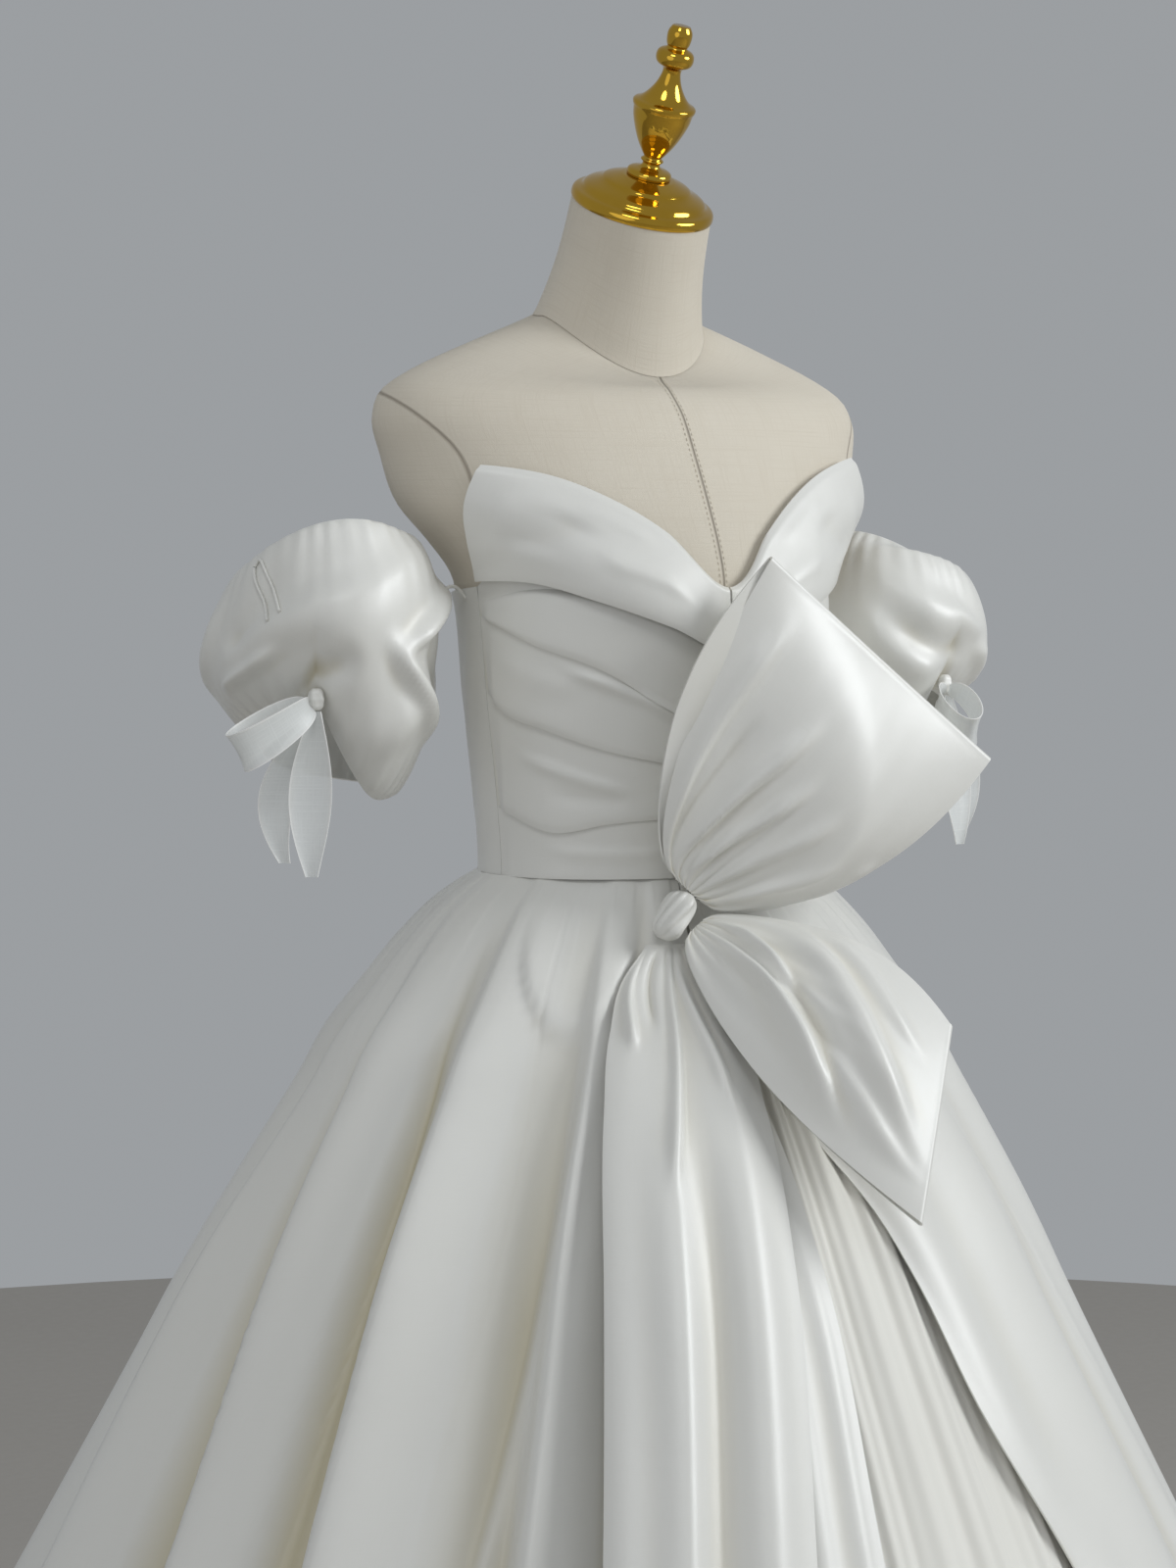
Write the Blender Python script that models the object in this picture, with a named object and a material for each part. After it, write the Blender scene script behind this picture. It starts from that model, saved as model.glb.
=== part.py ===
# Satin ball gown standing on a limbless dress form.
# Metres, +Z up. The front faces -Y and the wearer's left is +X.
# Azimuth is in degrees: 0 is the front, 90 the wearer's left, 180 the back.
import math

import bpy
import numpy as np

# Driving sizes
seamGap = 0.0003
waistHeight = 1.048
hemHeight = 0.008
formBottom = 0.80
bodiceWall = 0.0015
bandWall = 0.0012
cuffWall = 0.0022
skirtWall = 0.0014
tulleWall = 0.0010
bowWall = 0.0016
sleeveWall = 0.0012
ribbonWall = 0.0010
bodiceClearance = 0.0012
bandReach = 79.0
tuckDepth = 0.006
cuffTopReach = 71.0
cuffLowReach = 79.0
goreCount = 9
tulleCount = 4
neckLean = math.radians(25.0)
neckTop = (0.0, -0.007, 1.524)
capRadius = 0.0515
poleRadius = 0.0125
baseRadius = 0.160
baseThickness = 0.012
sleeveCentre = (0.237, 0.030, 1.205)
rightTieAzimuth = 28.0
leftTieAzimuth = 8.0
rightLoopTurn = 58.0
leftLoopTurn = -25.0
knotCentre = (-0.042, -0.1259, 1.026)
buttonCount = 7
hookHeight = 1.2450
hookRadius = 0.0016


def table(columns, *rows):
    """A short table with named columns, as one array for each column."""
    values = np.array(rows, dtype=float)
    return {name: values[:, i] for i, name in enumerate(columns.split())}


# Dress form: a level section at each height, and how far its front dips and its back rises
torsoTable = table(
    "height halfWidth front back centre frontDip backRise",
    (formBottom, 0.146, 0.103, 0.112, 0.000, 0, 0),
    (0.880, 0.156, 0.108, 0.120, 0.000, 0, 0),
    (0.960, 0.142, 0.100, 0.106, 0.000, 0, 0),
    (1.040, 0.120, 0.090, 0.082, 0.000, 0, 0),
    (1.100, 0.123, 0.096, 0.084, 0.000, 0, 0),
    (1.170, 0.131, 0.110, 0.088, 0.000, 0, 0),
    (1.240, 0.138, 0.123, 0.092, 0.000, 0, 0),
    (1.262, 0.142, 0.121, 0.094, 0.004, 0, 0),
    (1.285, 0.158, 0.113, 0.096, 0.011, 0, 0),
    (1.310, 0.179, 0.101, 0.098, 0.018, 0, 0),
    (1.345, 0.191, 0.082, 0.097, 0.024, 0, 0),
    (1.375, 0.196, 0.064, 0.091, 0.028, 0.000, 0.000),
    (1.393, 0.187, 0.052, 0.084, 0.030, 0.006, 0.002),
    (1.407, 0.164, 0.045, 0.080, 0.030, 0.014, 0.004),
    (1.422, 0.130, 0.040, 0.078, 0.030, 0.026, 0.006),
    (1.436, 0.094, 0.036, 0.079, 0.029, 0.037, 0.008),
    (1.447, 0.063, 0.033, 0.082, 0.028, 0.045, 0.010),
)
# How far the skirt stands out from the waist at each drop below it
flareTable = table(
    "drop side front",
    (0.000, 0.002, 0.002),
    (0.018, 0.030, 0.013),
    (0.040, 0.054, 0.029),
    (0.077, 0.085, 0.057),
    (0.112, 0.112, 0.083),
    (0.143, 0.128, 0.104),
    (0.181, 0.150, 0.130),
    (0.236, 0.182, 0.166),
    (0.363, 0.248, 0.238),
    (0.475, 0.307, 0.296),
    (1.040, 0.610, 0.590),
)
# Pleats of the overskirt: azimuth at waist and hem, half width in degrees, height from 0 to 1
pleatTable = table(
    "waist hem halfWidth rise",
    (-161, -166, 7.5, 0.90),
    (-143, -146, 6.0, 1.00),
    (-127, -131, 6.5, 0.85),
    (-110, -115, 5.5, 1.00),
    (-93, -99, 6.0, 0.95),
    (-86, -68, 5.5, 1.00),
    (-65, -58, 4.5, 0.90),
    (-38, -42, 5.0, 0.80),
    (-20, -24, 6.0, 1.00),
    (14, 27, 8.0, 1.00),
    (38, 47, 10.0, 0.90),
    (60, 66, 8.0, 1.00),
    (78, 83, 6.5, 0.90),
    (94, 99, 6.0, 1.00),
    (110, 114, 5.5, 0.90),
    (126, 131, 6.5, 1.00),
    (144, 147, 6.0, 0.85),
    (162, 165, 6.5, 1.00),
    (180, 181, 6.0, 0.95),
)
# Front opening of the overskirt, and the two tails of the bow that fall beside it
openingTable = table(
    "height rightEdge leftEdge",
    (0.000, -22.0, 40.0),
    (0.300, -20.0, 32.0),
    (0.600, -17.5, 24.0),
    (0.700, -16.0, 18.5),
    (0.780, -14.0, 16.0),
    (0.836, -13.0, 12.5),
    (0.900, -12.0, 3.0),
    (0.960, -12.0, -7.5),
    (1.050, -12.0, -11.8),
)
frontTailTable = table(
    "height rightEdge leftEdge lift",
    (0.020, -37.0, -15.5, 0.022),
    (0.300, -34.5, -14.5, 0.020),
    (0.650, -33.0, -11.5, 0.016),
    (0.800, -34.0, -7.5, 0.014),
    (0.900, -35.5, -5.0, 0.0095),
    (0.950, -35.5, -5.0, 0.0060),
    (0.985, -33.0, -8.0, 0.0035),
    (1.005, -27.0, -12.0, 0.0025),
)
# Folds down the front tail: place across it, half width and height
frontTailRidges = table(
    "place halfWidth rise",
    (-0.86, 0.12, 0.75),
    (-0.42, 0.16, 0.55),
    (0.02, 0.13, 1.00),
    (0.34, 0.10, 0.60),
    (0.74, 0.17, 0.90),
)
backTailRidges = table("place halfWidth rise", (0.3, 0.4, 1.0))
backTailTable = table(
    "height rightEdge leftEdge lift",
    (0.025, -24.0, -6.5, 0.006),
    (0.300, -24.0, -5.0, 0.006),
    (0.650, -23.0, -3.3, 0.005),
    (0.800, -22.0, -2.0, 0.0040),
    (0.900, -21.0, -4.0, 0.0020),
    (0.950, -20.0, -8.0, 0.0007),
)
# Edges on the front of the bodice, as heights at each azimuth
bodiceEdgeTable = table(
    "azimuth top bandTop cuffTop cuffLow fold1 fold2 fold3",
    (-84, 1.250, 1.240, 1.336, 1.256, 1.234, 1.186, 1.100),
    (-75, 1.264, 1.246, 1.337, 1.257, 1.228, 1.168, 1.094),
    (-60, 1.284, 1.252, 1.332, 1.256, 1.214, 1.156, 1.083),
    (-40, 1.280, 1.246, 1.315, 1.243, 1.197, 1.141, 1.089),
    (-20, 1.256, 1.230, 1.290, 1.226, 1.170, 1.132, 1.092),
    (0, 1.236, 1.212, 1.252, 1.206, 1.150, 1.124, 1.090),
    (20, 1.256, 1.230, 1.290, 1.226, 1.170, 1.132, 1.092),
    (40, 1.280, 1.246, 1.318, 1.243, 1.197, 1.141, 1.089),
    (60, 1.284, 1.250, 1.338, 1.253, 1.214, 1.156, 1.083),
    (75, 1.264, 1.243, 1.347, 1.250, 1.228, 1.168, 1.094),
    (84, 1.250, 1.240, 1.348, 1.249, 1.234, 1.186, 1.100),
)
# Puff sleeve: edges and bulge at each turn round the arm from the point where it is tied
sleeveTable = table(
    "away top low edge bulge",
    (0, 0.064, -0.030, 0.048, 0.032),
    (22, 0.058, -0.036, 0.046, 0.034),
    (50, 0.056, -0.042, 0.044, 0.036),
    (90, 0.066, -0.060, 0.043, 0.037),
    (140, 0.080, -0.082, 0.043, 0.036),
    (190, 0.087, -0.090, 0.046, 0.032),
    (235, 0.090, -0.094, 0.048, 0.025),
    (280, 0.090, -0.100, 0.046, 0.038),
    (315, 0.084, -0.094, 0.045, 0.042),
    (340, 0.074, -0.066, 0.047, 0.038),
    (360, 0.064, -0.030, 0.048, 0.032),
)
# Ends of each sleeve's ribbon: length, sideways sweep, how far they stand out, and half width
tieTailTable = (
    {"drop": 0.112, "sway": 0.004, "shift": 0.000, "start": 0.003, "stand": 0.010, "width": 0.0125},
    {"drop": 0.104, "sway": 0.026, "shift": 0.004, "start": -0.003, "stand": -0.002, "width": 0.0105},
)
capProfile = table(
    "radius height",
    (0.0515, 0.0000),
    (0.0525, 0.0020),
    (0.0515, 0.0070),
    (0.0455, 0.0085),
    (0.0440, 0.0125),
    (0.0330, 0.0170),
    (0.0315, 0.0195),
    (0.0190, 0.0235),
)
finialProfile = table(
    "radius height",
    (0.0160, 0.0238),
    (0.0165, 0.0262),
    (0.0150, 0.0288),
    (0.0070, 0.0305),
    (0.0060, 0.0340),
    (0.0090, 0.0358),
    (0.0060, 0.0378),
    (0.0080, 0.0400),
    (0.0145, 0.0500),
    (0.0205, 0.0650),
    (0.0215, 0.0730),
    (0.0228, 0.0750),
    (0.0228, 0.0780),
    (0.0170, 0.0800),
    (0.0095, 0.0900),
    (0.0062, 0.1000),
    (0.0070, 0.1040),
    (0.0125, 0.1060),
    (0.0140, 0.1110),
    (0.0125, 0.1160),
    (0.0065, 0.1180),
    (0.0085, 0.1210),
    (0.0092, 0.1290),
    (0.0065, 0.1335),
)
poleProfile = table(
    "radius height",
    (0.034, baseThickness + seamGap),
    (0.034, 0.018),
    (0.020, 0.026),
    (poleRadius, 0.034),
    (poleRadius, formBottom - 0.020),
    (0.030, formBottom - 0.010),
    (0.030, formBottom - seamGap),
)
baseProfile = table(
    "radius height",
    (baseRadius - 0.003, 0.0),
    (baseRadius, 0.003),
    (baseRadius, baseThickness - 0.003),
    (baseRadius - 0.003, baseThickness),
)


def along(xs, ys, x):
    """Smooth curve through the points of a table."""
    slopes = np.gradient(ys, xs)
    x = np.clip(x, xs[0], xs[-1])
    i = np.clip(np.searchsorted(xs, x) - 1, 0, len(xs) - 2)
    step = xs[i + 1] - xs[i]
    t = (x - xs[i]) / step
    rise = ys[i + 1] - ys[i]
    bend = (slopes[i] + slopes[i + 1]) * step - 2.0 * rise
    lean = 3.0 * rise - (2.0 * slopes[i] + slopes[i + 1]) * step
    return ys[i] + t * (slopes[i] * step + t * (lean + t * bend))


def read(source, column, x):
    """A column of a table at x, where x runs along the table's first column."""
    first = next(iter(source.values()))
    return along(first, source[column], x)


def material(name, colour, roughness, metallic=0.0):
    """A plain finish for one kind of piece."""
    found = bpy.data.materials.get(name)
    if found:
        return found
    made = bpy.data.materials.new(name)
    made.use_nodes = True
    shader = made.node_tree.nodes["Principled BSDF"]
    shader.inputs["Base Color"].default_value = (*colour, 1.0)
    shader.inputs["Roughness"].default_value = roughness
    shader.inputs["Metallic"].default_value = metallic
    return made


def addObject(name, points, faces, finish):
    """One closed solid, turned so that its faces point out."""
    points = np.asarray(points)
    volume = 0.0
    for face in faces:
        for i in range(1, len(face) - 1):
            corners = points[[face[0], face[i], face[i + 1]]]
            volume += np.dot(corners[0], np.cross(corners[1], corners[2]))
    if volume < 0.0:
        faces = [face[::-1] for face in faces]
    mesh = bpy.data.meshes.new(name)
    mesh.from_pydata(points.tolist(), [], faces)
    mesh.shade_smooth()
    mesh.set_sharp_from_angle(angle=math.radians(50.0))
    mesh.materials.append(finish)
    made = bpy.data.objects.new(name, mesh)
    bpy.context.collection.objects.link(made)
    return made


def ringSolid(name, rings, finish):
    """A solid through closed rings, closed at both ends by a fan round its middle."""
    count = len(rings[0])
    points = [point for ring in rings for point in ring]
    faces = []
    for level in range(len(rings) - 1):
        for i in range(count):
            j = (i + 1) % count
            low = level * count
            high = low + count
            faces.append([low + i, low + j, high + j, high + i])
    for level, order in ((0, -1), (len(rings) - 1, 1)):
        middle = len(points)
        points.append(np.mean(rings[level], axis=0))
        for i in range(count):
            pair = [level * count + i, level * count + (i + 1) % count]
            faces.append([middle] + pair[::order])
    return addObject(name, points, faces, finish)


def surfaceNormals(surface, wrap=False):
    """Unit normals of a grid of points; wrap joins its first and last rows."""
    if wrap:
        spread = np.concatenate([surface[-1:], surface, surface[:1]])
        across = (spread[2:] - spread[:-2])
    else:
        across = np.gradient(surface, axis=0)
    normal = np.cross(across, np.gradient(surface, axis=1))
    return normal / np.linalg.norm(normal, axis=2, keepdims=True)


def wallSolid(name, surface, thickness, finish, wrap=False, normal=None):
    """A wall of cloth on both sides of a grid of points."""
    surface = np.asarray(surface, dtype=float)
    if normal is None:
        normal = surfaceNormals(surface, wrap)
    rows, columns = surface.shape[:2]
    outer = (surface + normal * thickness / 2).reshape(-1, 3)
    inner = (surface - normal * thickness / 2).reshape(-1, 3)
    points = np.concatenate([outer, inner])
    back = rows * columns
    faces = []
    if not wrap:
        for i, order in ((0, 1), (rows - 1, -1)):
            for j in range(columns - 1):
                a = i * columns + j
                faces.append([a, a + 1, back + a + 1][::order])
                faces.append([a, back + a + 1, back + a][::order])
    for i in range(rows if wrap else rows - 1):
        following = (i + 1) % rows
        for j in range(columns - 1):
            a, b, c, d = [i * columns + j, following * columns + j,
                          following * columns + j + 1, i * columns + j + 1]
            # both walls are split along the same diagonal, so that a twisted fold keeps its thickness
            for half in ([a, b, c], [a, c, d]):
                faces.append(half)
                faces.append([back + k for k in reversed(half)])
        for j, order in ((0, -1), (columns - 1, 1)):
            a = i * columns + j
            b = following * columns + j
            faces.append([a, b, back + b, back + a][::order])
    return addObject(name, points, faces, finish)


def onAzimuth(azimuth, radius, height):
    """Points at an azimuth, a distance from the upright axis and a height."""
    turn = np.radians(azimuth)
    return np.stack(np.broadcast_arrays(radius * np.sin(turn), -radius * np.cos(turn), height), -1)


def torsoRing(height, count):
    """One section of the dress form; height is that of its sides."""
    size = {name: read(torsoTable, name, height) for name in torsoTable}
    turn = np.arange(count) * 2.0 * math.pi / count
    ahead = np.cos(turn)
    reach = np.where(ahead > 0, size["front"] + size["centre"], size["back"] - size["centre"])
    x = size["halfWidth"] * np.sin(turn)
    y = size["centre"] - reach * ahead
    dip = np.clip(ahead, 0, 1) ** 1.6 * size["frontDip"]
    rise = np.clip(-ahead, 0, 1) ** 1.6 * size["backRise"]
    return np.stack([x, y, size["height"] - dip + rise], axis=1)


def torsoRadius(azimuth, height):
    """Distance from the upright axis to the dress form's skin."""
    turn = np.radians(azimuth)
    aside = np.sin(turn)
    ahead = -np.cos(turn)
    halfWidth = read(torsoTable, "halfWidth", height)
    centre = read(torsoTable, "centre", height)
    reachFront = read(torsoTable, "front", height) + centre
    reachBack = read(torsoTable, "back", height) - centre

    def cross(reach):
        a = (aside / halfWidth) ** 2 + (ahead / reach) ** 2
        b = -2.0 * ahead * centre / reach ** 2
        c = (centre / reach) ** 2 - 1.0
        return (-b + np.sqrt(b * b - 4.0 * a * c)) / (2.0 * a)

    radius = cross(reachFront)
    return np.where(radius * ahead > centre, cross(reachBack), radius)


def onBodice(azimuth, height, lift):
    """Points over the dress form, lifted from its skin."""
    return onAzimuth(azimuth, torsoRadius(azimuth, height) + lift, height)


def turned(name, profile, origin, lean, sides, finish):
    """A turned piece on an axis that leans towards the front."""
    turn = np.arange(sides) * 2.0 * math.pi / sides
    ring = np.stack([np.sin(turn), -np.cos(turn) * math.cos(lean), -np.cos(turn) * math.sin(lean)], 1)
    axis = np.array([0.0, -math.sin(lean), math.cos(lean)])
    rings = []
    for radius, height in zip(profile["radius"], profile["height"]):
        rings.append(np.array(origin) + axis * height + ring * radius)
    return ringSolid(name, rings, finish)


def buildForm():
    """Linen-covered torso and neck, polished cap and finial, pole and base."""
    linen = material("form_linen", (0.80, 0.74, 0.64), 0.85)
    gold = material("polished_gold", (0.83, 0.60, 0.16), 0.12, 1.0)
    steel = material("stand_steel", (0.75, 0.74, 0.72), 0.35, 1.0)
    sides = 28
    heights = torsoTable["height"]
    between = (heights[3:6] + heights[4:7]) / 2
    heights = np.sort(np.concatenate([heights, between]))
    ringSolid("form_torso", [torsoRing(height, sides) for height in heights], linen)
    base = torsoRing(heights[-1], sides) + np.array([0, 0, seamGap])
    turn = np.arange(sides) * 2.0 * math.pi / sides
    lean = np.stack([np.sin(turn), -np.cos(turn) * math.cos(neckLean),
                     -np.cos(turn) * math.sin(neckLean)], 1)
    top = np.array(neckTop) + lean * (capRadius - 0.0005)
    rings = []
    for step in np.linspace(0.0, 1.0, 5):
        waist = 1.0 - 0.05 * math.sin(math.pi * step)
        ring = base + (top - base) * step
        middle = ring.mean(axis=0)
        rings.append(middle + (ring - middle) * waist)
    ringSolid("form_neck", rings, linen)
    capBase = np.array(neckTop) + np.array([0.0, -math.sin(neckLean), math.cos(neckLean)]) * seamGap
    turned("neck_cap", capProfile, capBase, neckLean, 24, gold)
    turned("neck_finial", finialProfile, capBase, neckLean, 12, gold)
    turned("form_pole", poleProfile, (0, 0, 0), 0.0, 20, steel)
    turned("form_base", baseProfile, (0, 0, 0), 0.0, 32, steel)


def bodicePanel(name, start, end, columns, rows, topHeight, finish):
    """A boned panel from the waist seam up to its top edge."""
    lift = bodiceClearance + bodiceWall / 2
    points = []
    for azimuth in np.linspace(start, end, columns):
        rise = np.linspace(0.0, 1.0, rows) ** 0.8
        heights = waistHeight + seamGap + (topHeight(azimuth) - waistHeight - seamGap) * rise
        points.append(onBodice(azimuth, heights, lift))
    wallSolid(name, points, bodiceWall, finish)


def bodiceBand(name, upper, lower, finish):
    """A draped pleat: its top is tucked under the band above and its low edge stands proud."""
    low = bodiceClearance + bodiceWall + 0.0012 + bandWall / 2
    proud = low + 0.0026
    points = []
    for azimuth in np.linspace(-bandReach, bandReach, 17):
        fade = min(1.0, (bandReach - abs(azimuth)) / 14.0)
        tucked = min(1.0, max(0.0, (fade - 0.75) / 0.25))
        top = upper(azimuth) + tuckDepth * tucked - seamGap * 2
        heights = np.linspace(top, lower(azimuth), 4)
        lift = low + (proud - low) * fade * np.array([0.0, 0.35, 0.7, 1.0])
        points.append(onBodice(azimuth, heights, lift))
    wallSolid(name, points, bandWall, finish)


def cuff(name, side, finish):
    """A stiff cuff folded over the top of the bodice, standing away at its outer corner."""
    points = []
    for step in np.linspace(0.0, 1.0, 15):
        reach = np.linspace(cuffTopReach, cuffLowReach, 5) - 0.35
        azimuth = side * (0.35 + reach * step)
        top = read(bodiceEdgeTable, "cuffTop", azimuth[0])
        low = read(bodiceEdgeTable, "cuffLow", azimuth[-1])
        heights = np.linspace(top, low, 5)
        stand = 0.0065 + 0.0060 * step ** 2 * np.linspace(1.0, 0.25, 5)
        swell = 0.0045 * math.sin(math.pi * min(1.0, step * 1.1)) * np.sin(np.linspace(0, math.pi, 5))
        points.append(onBodice(azimuth, heights, stand + swell))
    wallSolid(name, points, cuffWall, finish)


def buildBodice():
    """Boned panels, draped bands, cuffs and the buttons of the back closing."""
    satin = material("ivory_satin", (0.90, 0.89, 0.85), 0.35)

    def frontTop(azimuth):
        return float(read(bodiceEdgeTable, "top", azimuth))

    def backTop(azimuth):
        return 1.2535 - 0.016 * math.sin(math.radians(abs(azimuth) - 80.0) * 0.9)

    split = 82.0
    middle = 0.07
    bodicePanel("bodice_front", -split + middle, split - middle, 25, 8, frontTop, satin)
    bodicePanel("bodice_back_right", -180 + middle, -split - middle, 15, 6, backTop, satin)
    bodicePanel("bodice_back_left", split + middle, 180 - middle, 15, 6, backTop, satin)

    def edge(column):
        return lambda azimuth: float(read(bodiceEdgeTable, column, azimuth))

    bodiceBand("bodice_band_1", edge("bandTop"), edge("fold1"), satin)
    bodiceBand("bodice_band_2", edge("fold1"), edge("fold2"), satin)
    bodiceBand("bodice_band_3", edge("fold2"), edge("fold3"), satin)
    bodiceBand("bodice_band_4", edge("fold3"), lambda azimuth: waistHeight + 0.001, satin)
    cuff("cuff_right", -1, satin)
    cuff("cuff_left", 1, satin)
    radius = 0.0055
    skin = bodiceClearance + bodiceWall
    for i in range(buttonCount):
        height = waistHeight + 0.022 + 0.024 * i
        centre = onBodice(176.0, height, skin + 0.0008)
        profile = ((0.55, 0.0), (1.0, 0.22), (0.9, 0.5), (0.5, 0.75))
        turn = np.arange(12) * math.pi / 6
        rings = []
        for width, out in profile:
            rings.append(np.stack([centre[0] + np.sin(turn) * radius * width,
                                   np.full(12, centre[1] + out * radius),
                                   height + np.cos(turn) * radius * width], 1))
        ringSolid(f"back_button_{i + 1}", rings, satin)


def crestRadius(azimuth, height):
    """How far the outermost folds of the skirt stand from the upright axis."""
    drop = waistHeight - height
    waist = torsoRadius(azimuth, waistHeight) + bodiceClearance + skirtWall / 2
    ahead = np.clip(np.cos(np.radians(azimuth + 12.0)), 0.0, 1.0) ** 1.5
    flare = read(flareTable, "side", drop) * (1.0 - ahead) + read(flareTable, "front", drop) * ahead
    fuller = 1.0 + 0.055 * np.cos(np.radians(azimuth + 120.0)) * np.clip(drop / 0.3, 0, 1)
    return waist + flare * fuller


def valleyDepth(azimuth, height):
    """How deep the troughs between the pleats are."""
    drop = waistHeight - height
    deep = 0.002 + 0.034 * np.clip(drop / 0.30, 0, 1) + 0.022 * np.clip(drop - 0.30, 0, 1)
    smooth = np.exp(-((azimuth - 22.0) / 36.0) ** 4)
    return deep * (1.0 - 0.62 * smooth)


def skirtRadius(azimuth, height):
    """The overskirt's pleated wall."""
    azimuth = (azimuth + 180.0) % 360.0 - 180.0
    fall = np.clip((waistHeight - height) / waistHeight, 0.0, 1.0) ** 0.7
    flat = np.ones(np.broadcast(azimuth, height).shape)
    for i in range(len(pleatTable["waist"])):
        centre = pleatTable["waist"][i] + (pleatTable["hem"][i] - pleatTable["waist"][i]) * fall
        away = (azimuth - centre + 180.0) % 360.0 - 180.0
        flat = flat * (1.0 - pleatTable["rise"][i] * np.exp(-(away / pleatTable["halfWidth"][i]) ** 2))
    return crestRadius(azimuth, height) - valleyDepth(azimuth, height) * flat


def rowHeights(top, bottom, count, crowd=1.6):
    """Heights from top to bottom, closer together near the waist."""
    return top - (top - bottom) * np.linspace(0.0, 1.0, count) ** crowd


def sewnPanels(name, surface, count, thickness, finish):
    """One surface cut into panels side by side, with a seam gap between them and a level top."""
    normal = surfaceNormals(surface)
    normal[:, 0, 2] = 0.0
    normal /= np.linalg.norm(normal, axis=2, keepdims=True)
    across = np.gradient(surface, axis=0)
    across /= np.linalg.norm(across, axis=2, keepdims=True)
    columns = (len(surface) - 1) // count
    for panel in range(count):
        part = slice(panel * columns, (panel + 1) * columns + 1)
        points = surface[part].copy()
        points[0] += across[part][0] * seamGap / 2
        points[-1] -= across[part][-1] * seamGap / 2
        wallSolid(f"{name}_{panel + 1}", points, thickness, finish, normal=normal[part])


def buildSkirt():
    """Overskirt gores, and the tulle underskirt that shows in the front opening."""
    satin = material("ivory_satin", (0.90, 0.89, 0.85), 0.35)
    tulle = material("ivory_tulle", (0.90, 0.88, 0.82), 0.75)
    columns = 11
    heights = rowHeights(waistHeight, hemHeight, 11)
    first = read(openingTable, "leftEdge", heights)
    last = read(openingTable, "rightEdge", heights) + 360.0
    surface = []
    for step in np.linspace(0.0, 1.0, goreCount * columns + 1):
        azimuth = first + (last - first) * step
        surface.append(onAzimuth(azimuth, skirtRadius(azimuth, heights), heights))
    sewnPanels("overskirt_gore", np.array(surface), goreCount, skirtWall, satin)
    columns = 12
    heights = rowHeights(waistHeight - 0.020, hemHeight + 0.004, 7, 1.3)
    surface = []
    for step, azimuth in enumerate(np.linspace(40.0, 400.0, tulleCount * columns + 1)):
        bare = (azimuth + 180.0) % 360.0 - 180.0
        ease = np.clip((waistHeight - heights) / 0.1, 0.0, 1.0)
        inset = valleyDepth(bare, heights) + 0.0017 + 0.0093 * ease
        inset = inset + (0.0 if step % 2 else 0.004) * ease
        surface.append(onAzimuth(azimuth, crestRadius(bare, heights) - inset, heights))
    sewnPanels("underskirt_panel", np.array(surface), tulleCount, tulleWall, tulle)


def gatherWave(across, count, turn=0.0):
    """Soft ridges side by side; across runs from -1 to 1."""
    return 0.5 + 0.5 * np.cos(math.pi * count * across + turn)


def softRidges(across, ridges):
    """Uneven ridges from a table of them; across runs from -1 to 1."""
    away = (across - ridges["place"]) / ridges["halfWidth"]
    return 1.0 - np.prod(1.0 - ridges["rise"] * np.exp(-away ** 2))


def tail(name, source, columns, rows, ridges, finish, swell=0.012):
    """A tail of the bow that lies over the skirt from the knot or the waist to the hem."""
    top = source["height"][-1]
    bottom = source["height"][0]
    heights = rowHeights(top, bottom, rows)
    right = read(source, "rightEdge", heights)
    left = read(source, "leftEdge", heights)
    lift = read(source, "lift", heights)
    surface = []
    for across in np.linspace(-1.0, 1.0, columns):
        azimuth = right + (left - right) * (across + 1.0) / 2.0
        opened = np.clip((top - heights) / 0.12, 0.0, 1.0)
        wave = softRidges(across, ridges) * swell * (0.3 + opened) * (1.0 - across ** 6)
        surface.append(onAzimuth(azimuth, crestRadius(azimuth, heights) + lift + wave, heights))
    wallSolid(name, surface, skirtWall, finish)


def bowLoop(name, size, finish):
    """A strip folded back on itself, gathered at the knot and open at both sides."""
    knot = np.array(size["knot"])
    cornerA = np.array(size["cornerA"])
    cornerB = np.array(size["cornerB"])
    middle = (cornerA + cornerB) / 2
    run = middle - knot
    length = np.linalg.norm(run)
    run = run / length
    side = cornerB - cornerA
    side = side - run * np.dot(side, run)
    slant = np.dot(cornerB - cornerA, run) / 2
    halfWidth = np.linalg.norm(side) / 2
    side = side / (2 * halfWidth)
    out = np.cross(run, side)
    if out[1] > 0:
        out = -out
    turn = size["foldRadius"]
    front = np.linspace(0.0, 1.0, size["steps"]) ** 1.2
    path = [(s, 1) for s in front]
    path += [(1.0 + turn / length, 0)]
    path += [(s, -1) for s in front[::-1]]
    surface = []
    for s, layer in path:
        row = []
        reach = min(s, 1.0)
        spread = size["pinch"] + (1.0 - size["pinch"]) * reach ** size["bulge"]
        for v in np.linspace(-1.0, 1.0, size["columns"]):
            puff = size["frontPuff"] if layer >= 0 else size["backPuff"]
            swell = math.sin(math.pi * reach ** 1.15) ** 0.9 * (1.0 - 0.35 * v * v)
            gather = size["gather"] * gatherWave(v, size["ridges"]) * (1.0 - reach) ** 1.1 * reach ** 0.5
            lift = layer * (turn + puff * swell) + layer * gather * (2.0 if layer > 0 else 0.6)
            lift = lift + size["cup"] * v * v * reach
            ahead = length * s + slant * v * reach ** 1.5
            row.append(knot + run * ahead + side * v * halfWidth * spread + out * lift)
        surface.append(row)
    wallSolid(name, surface, bowWall, finish)


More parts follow.
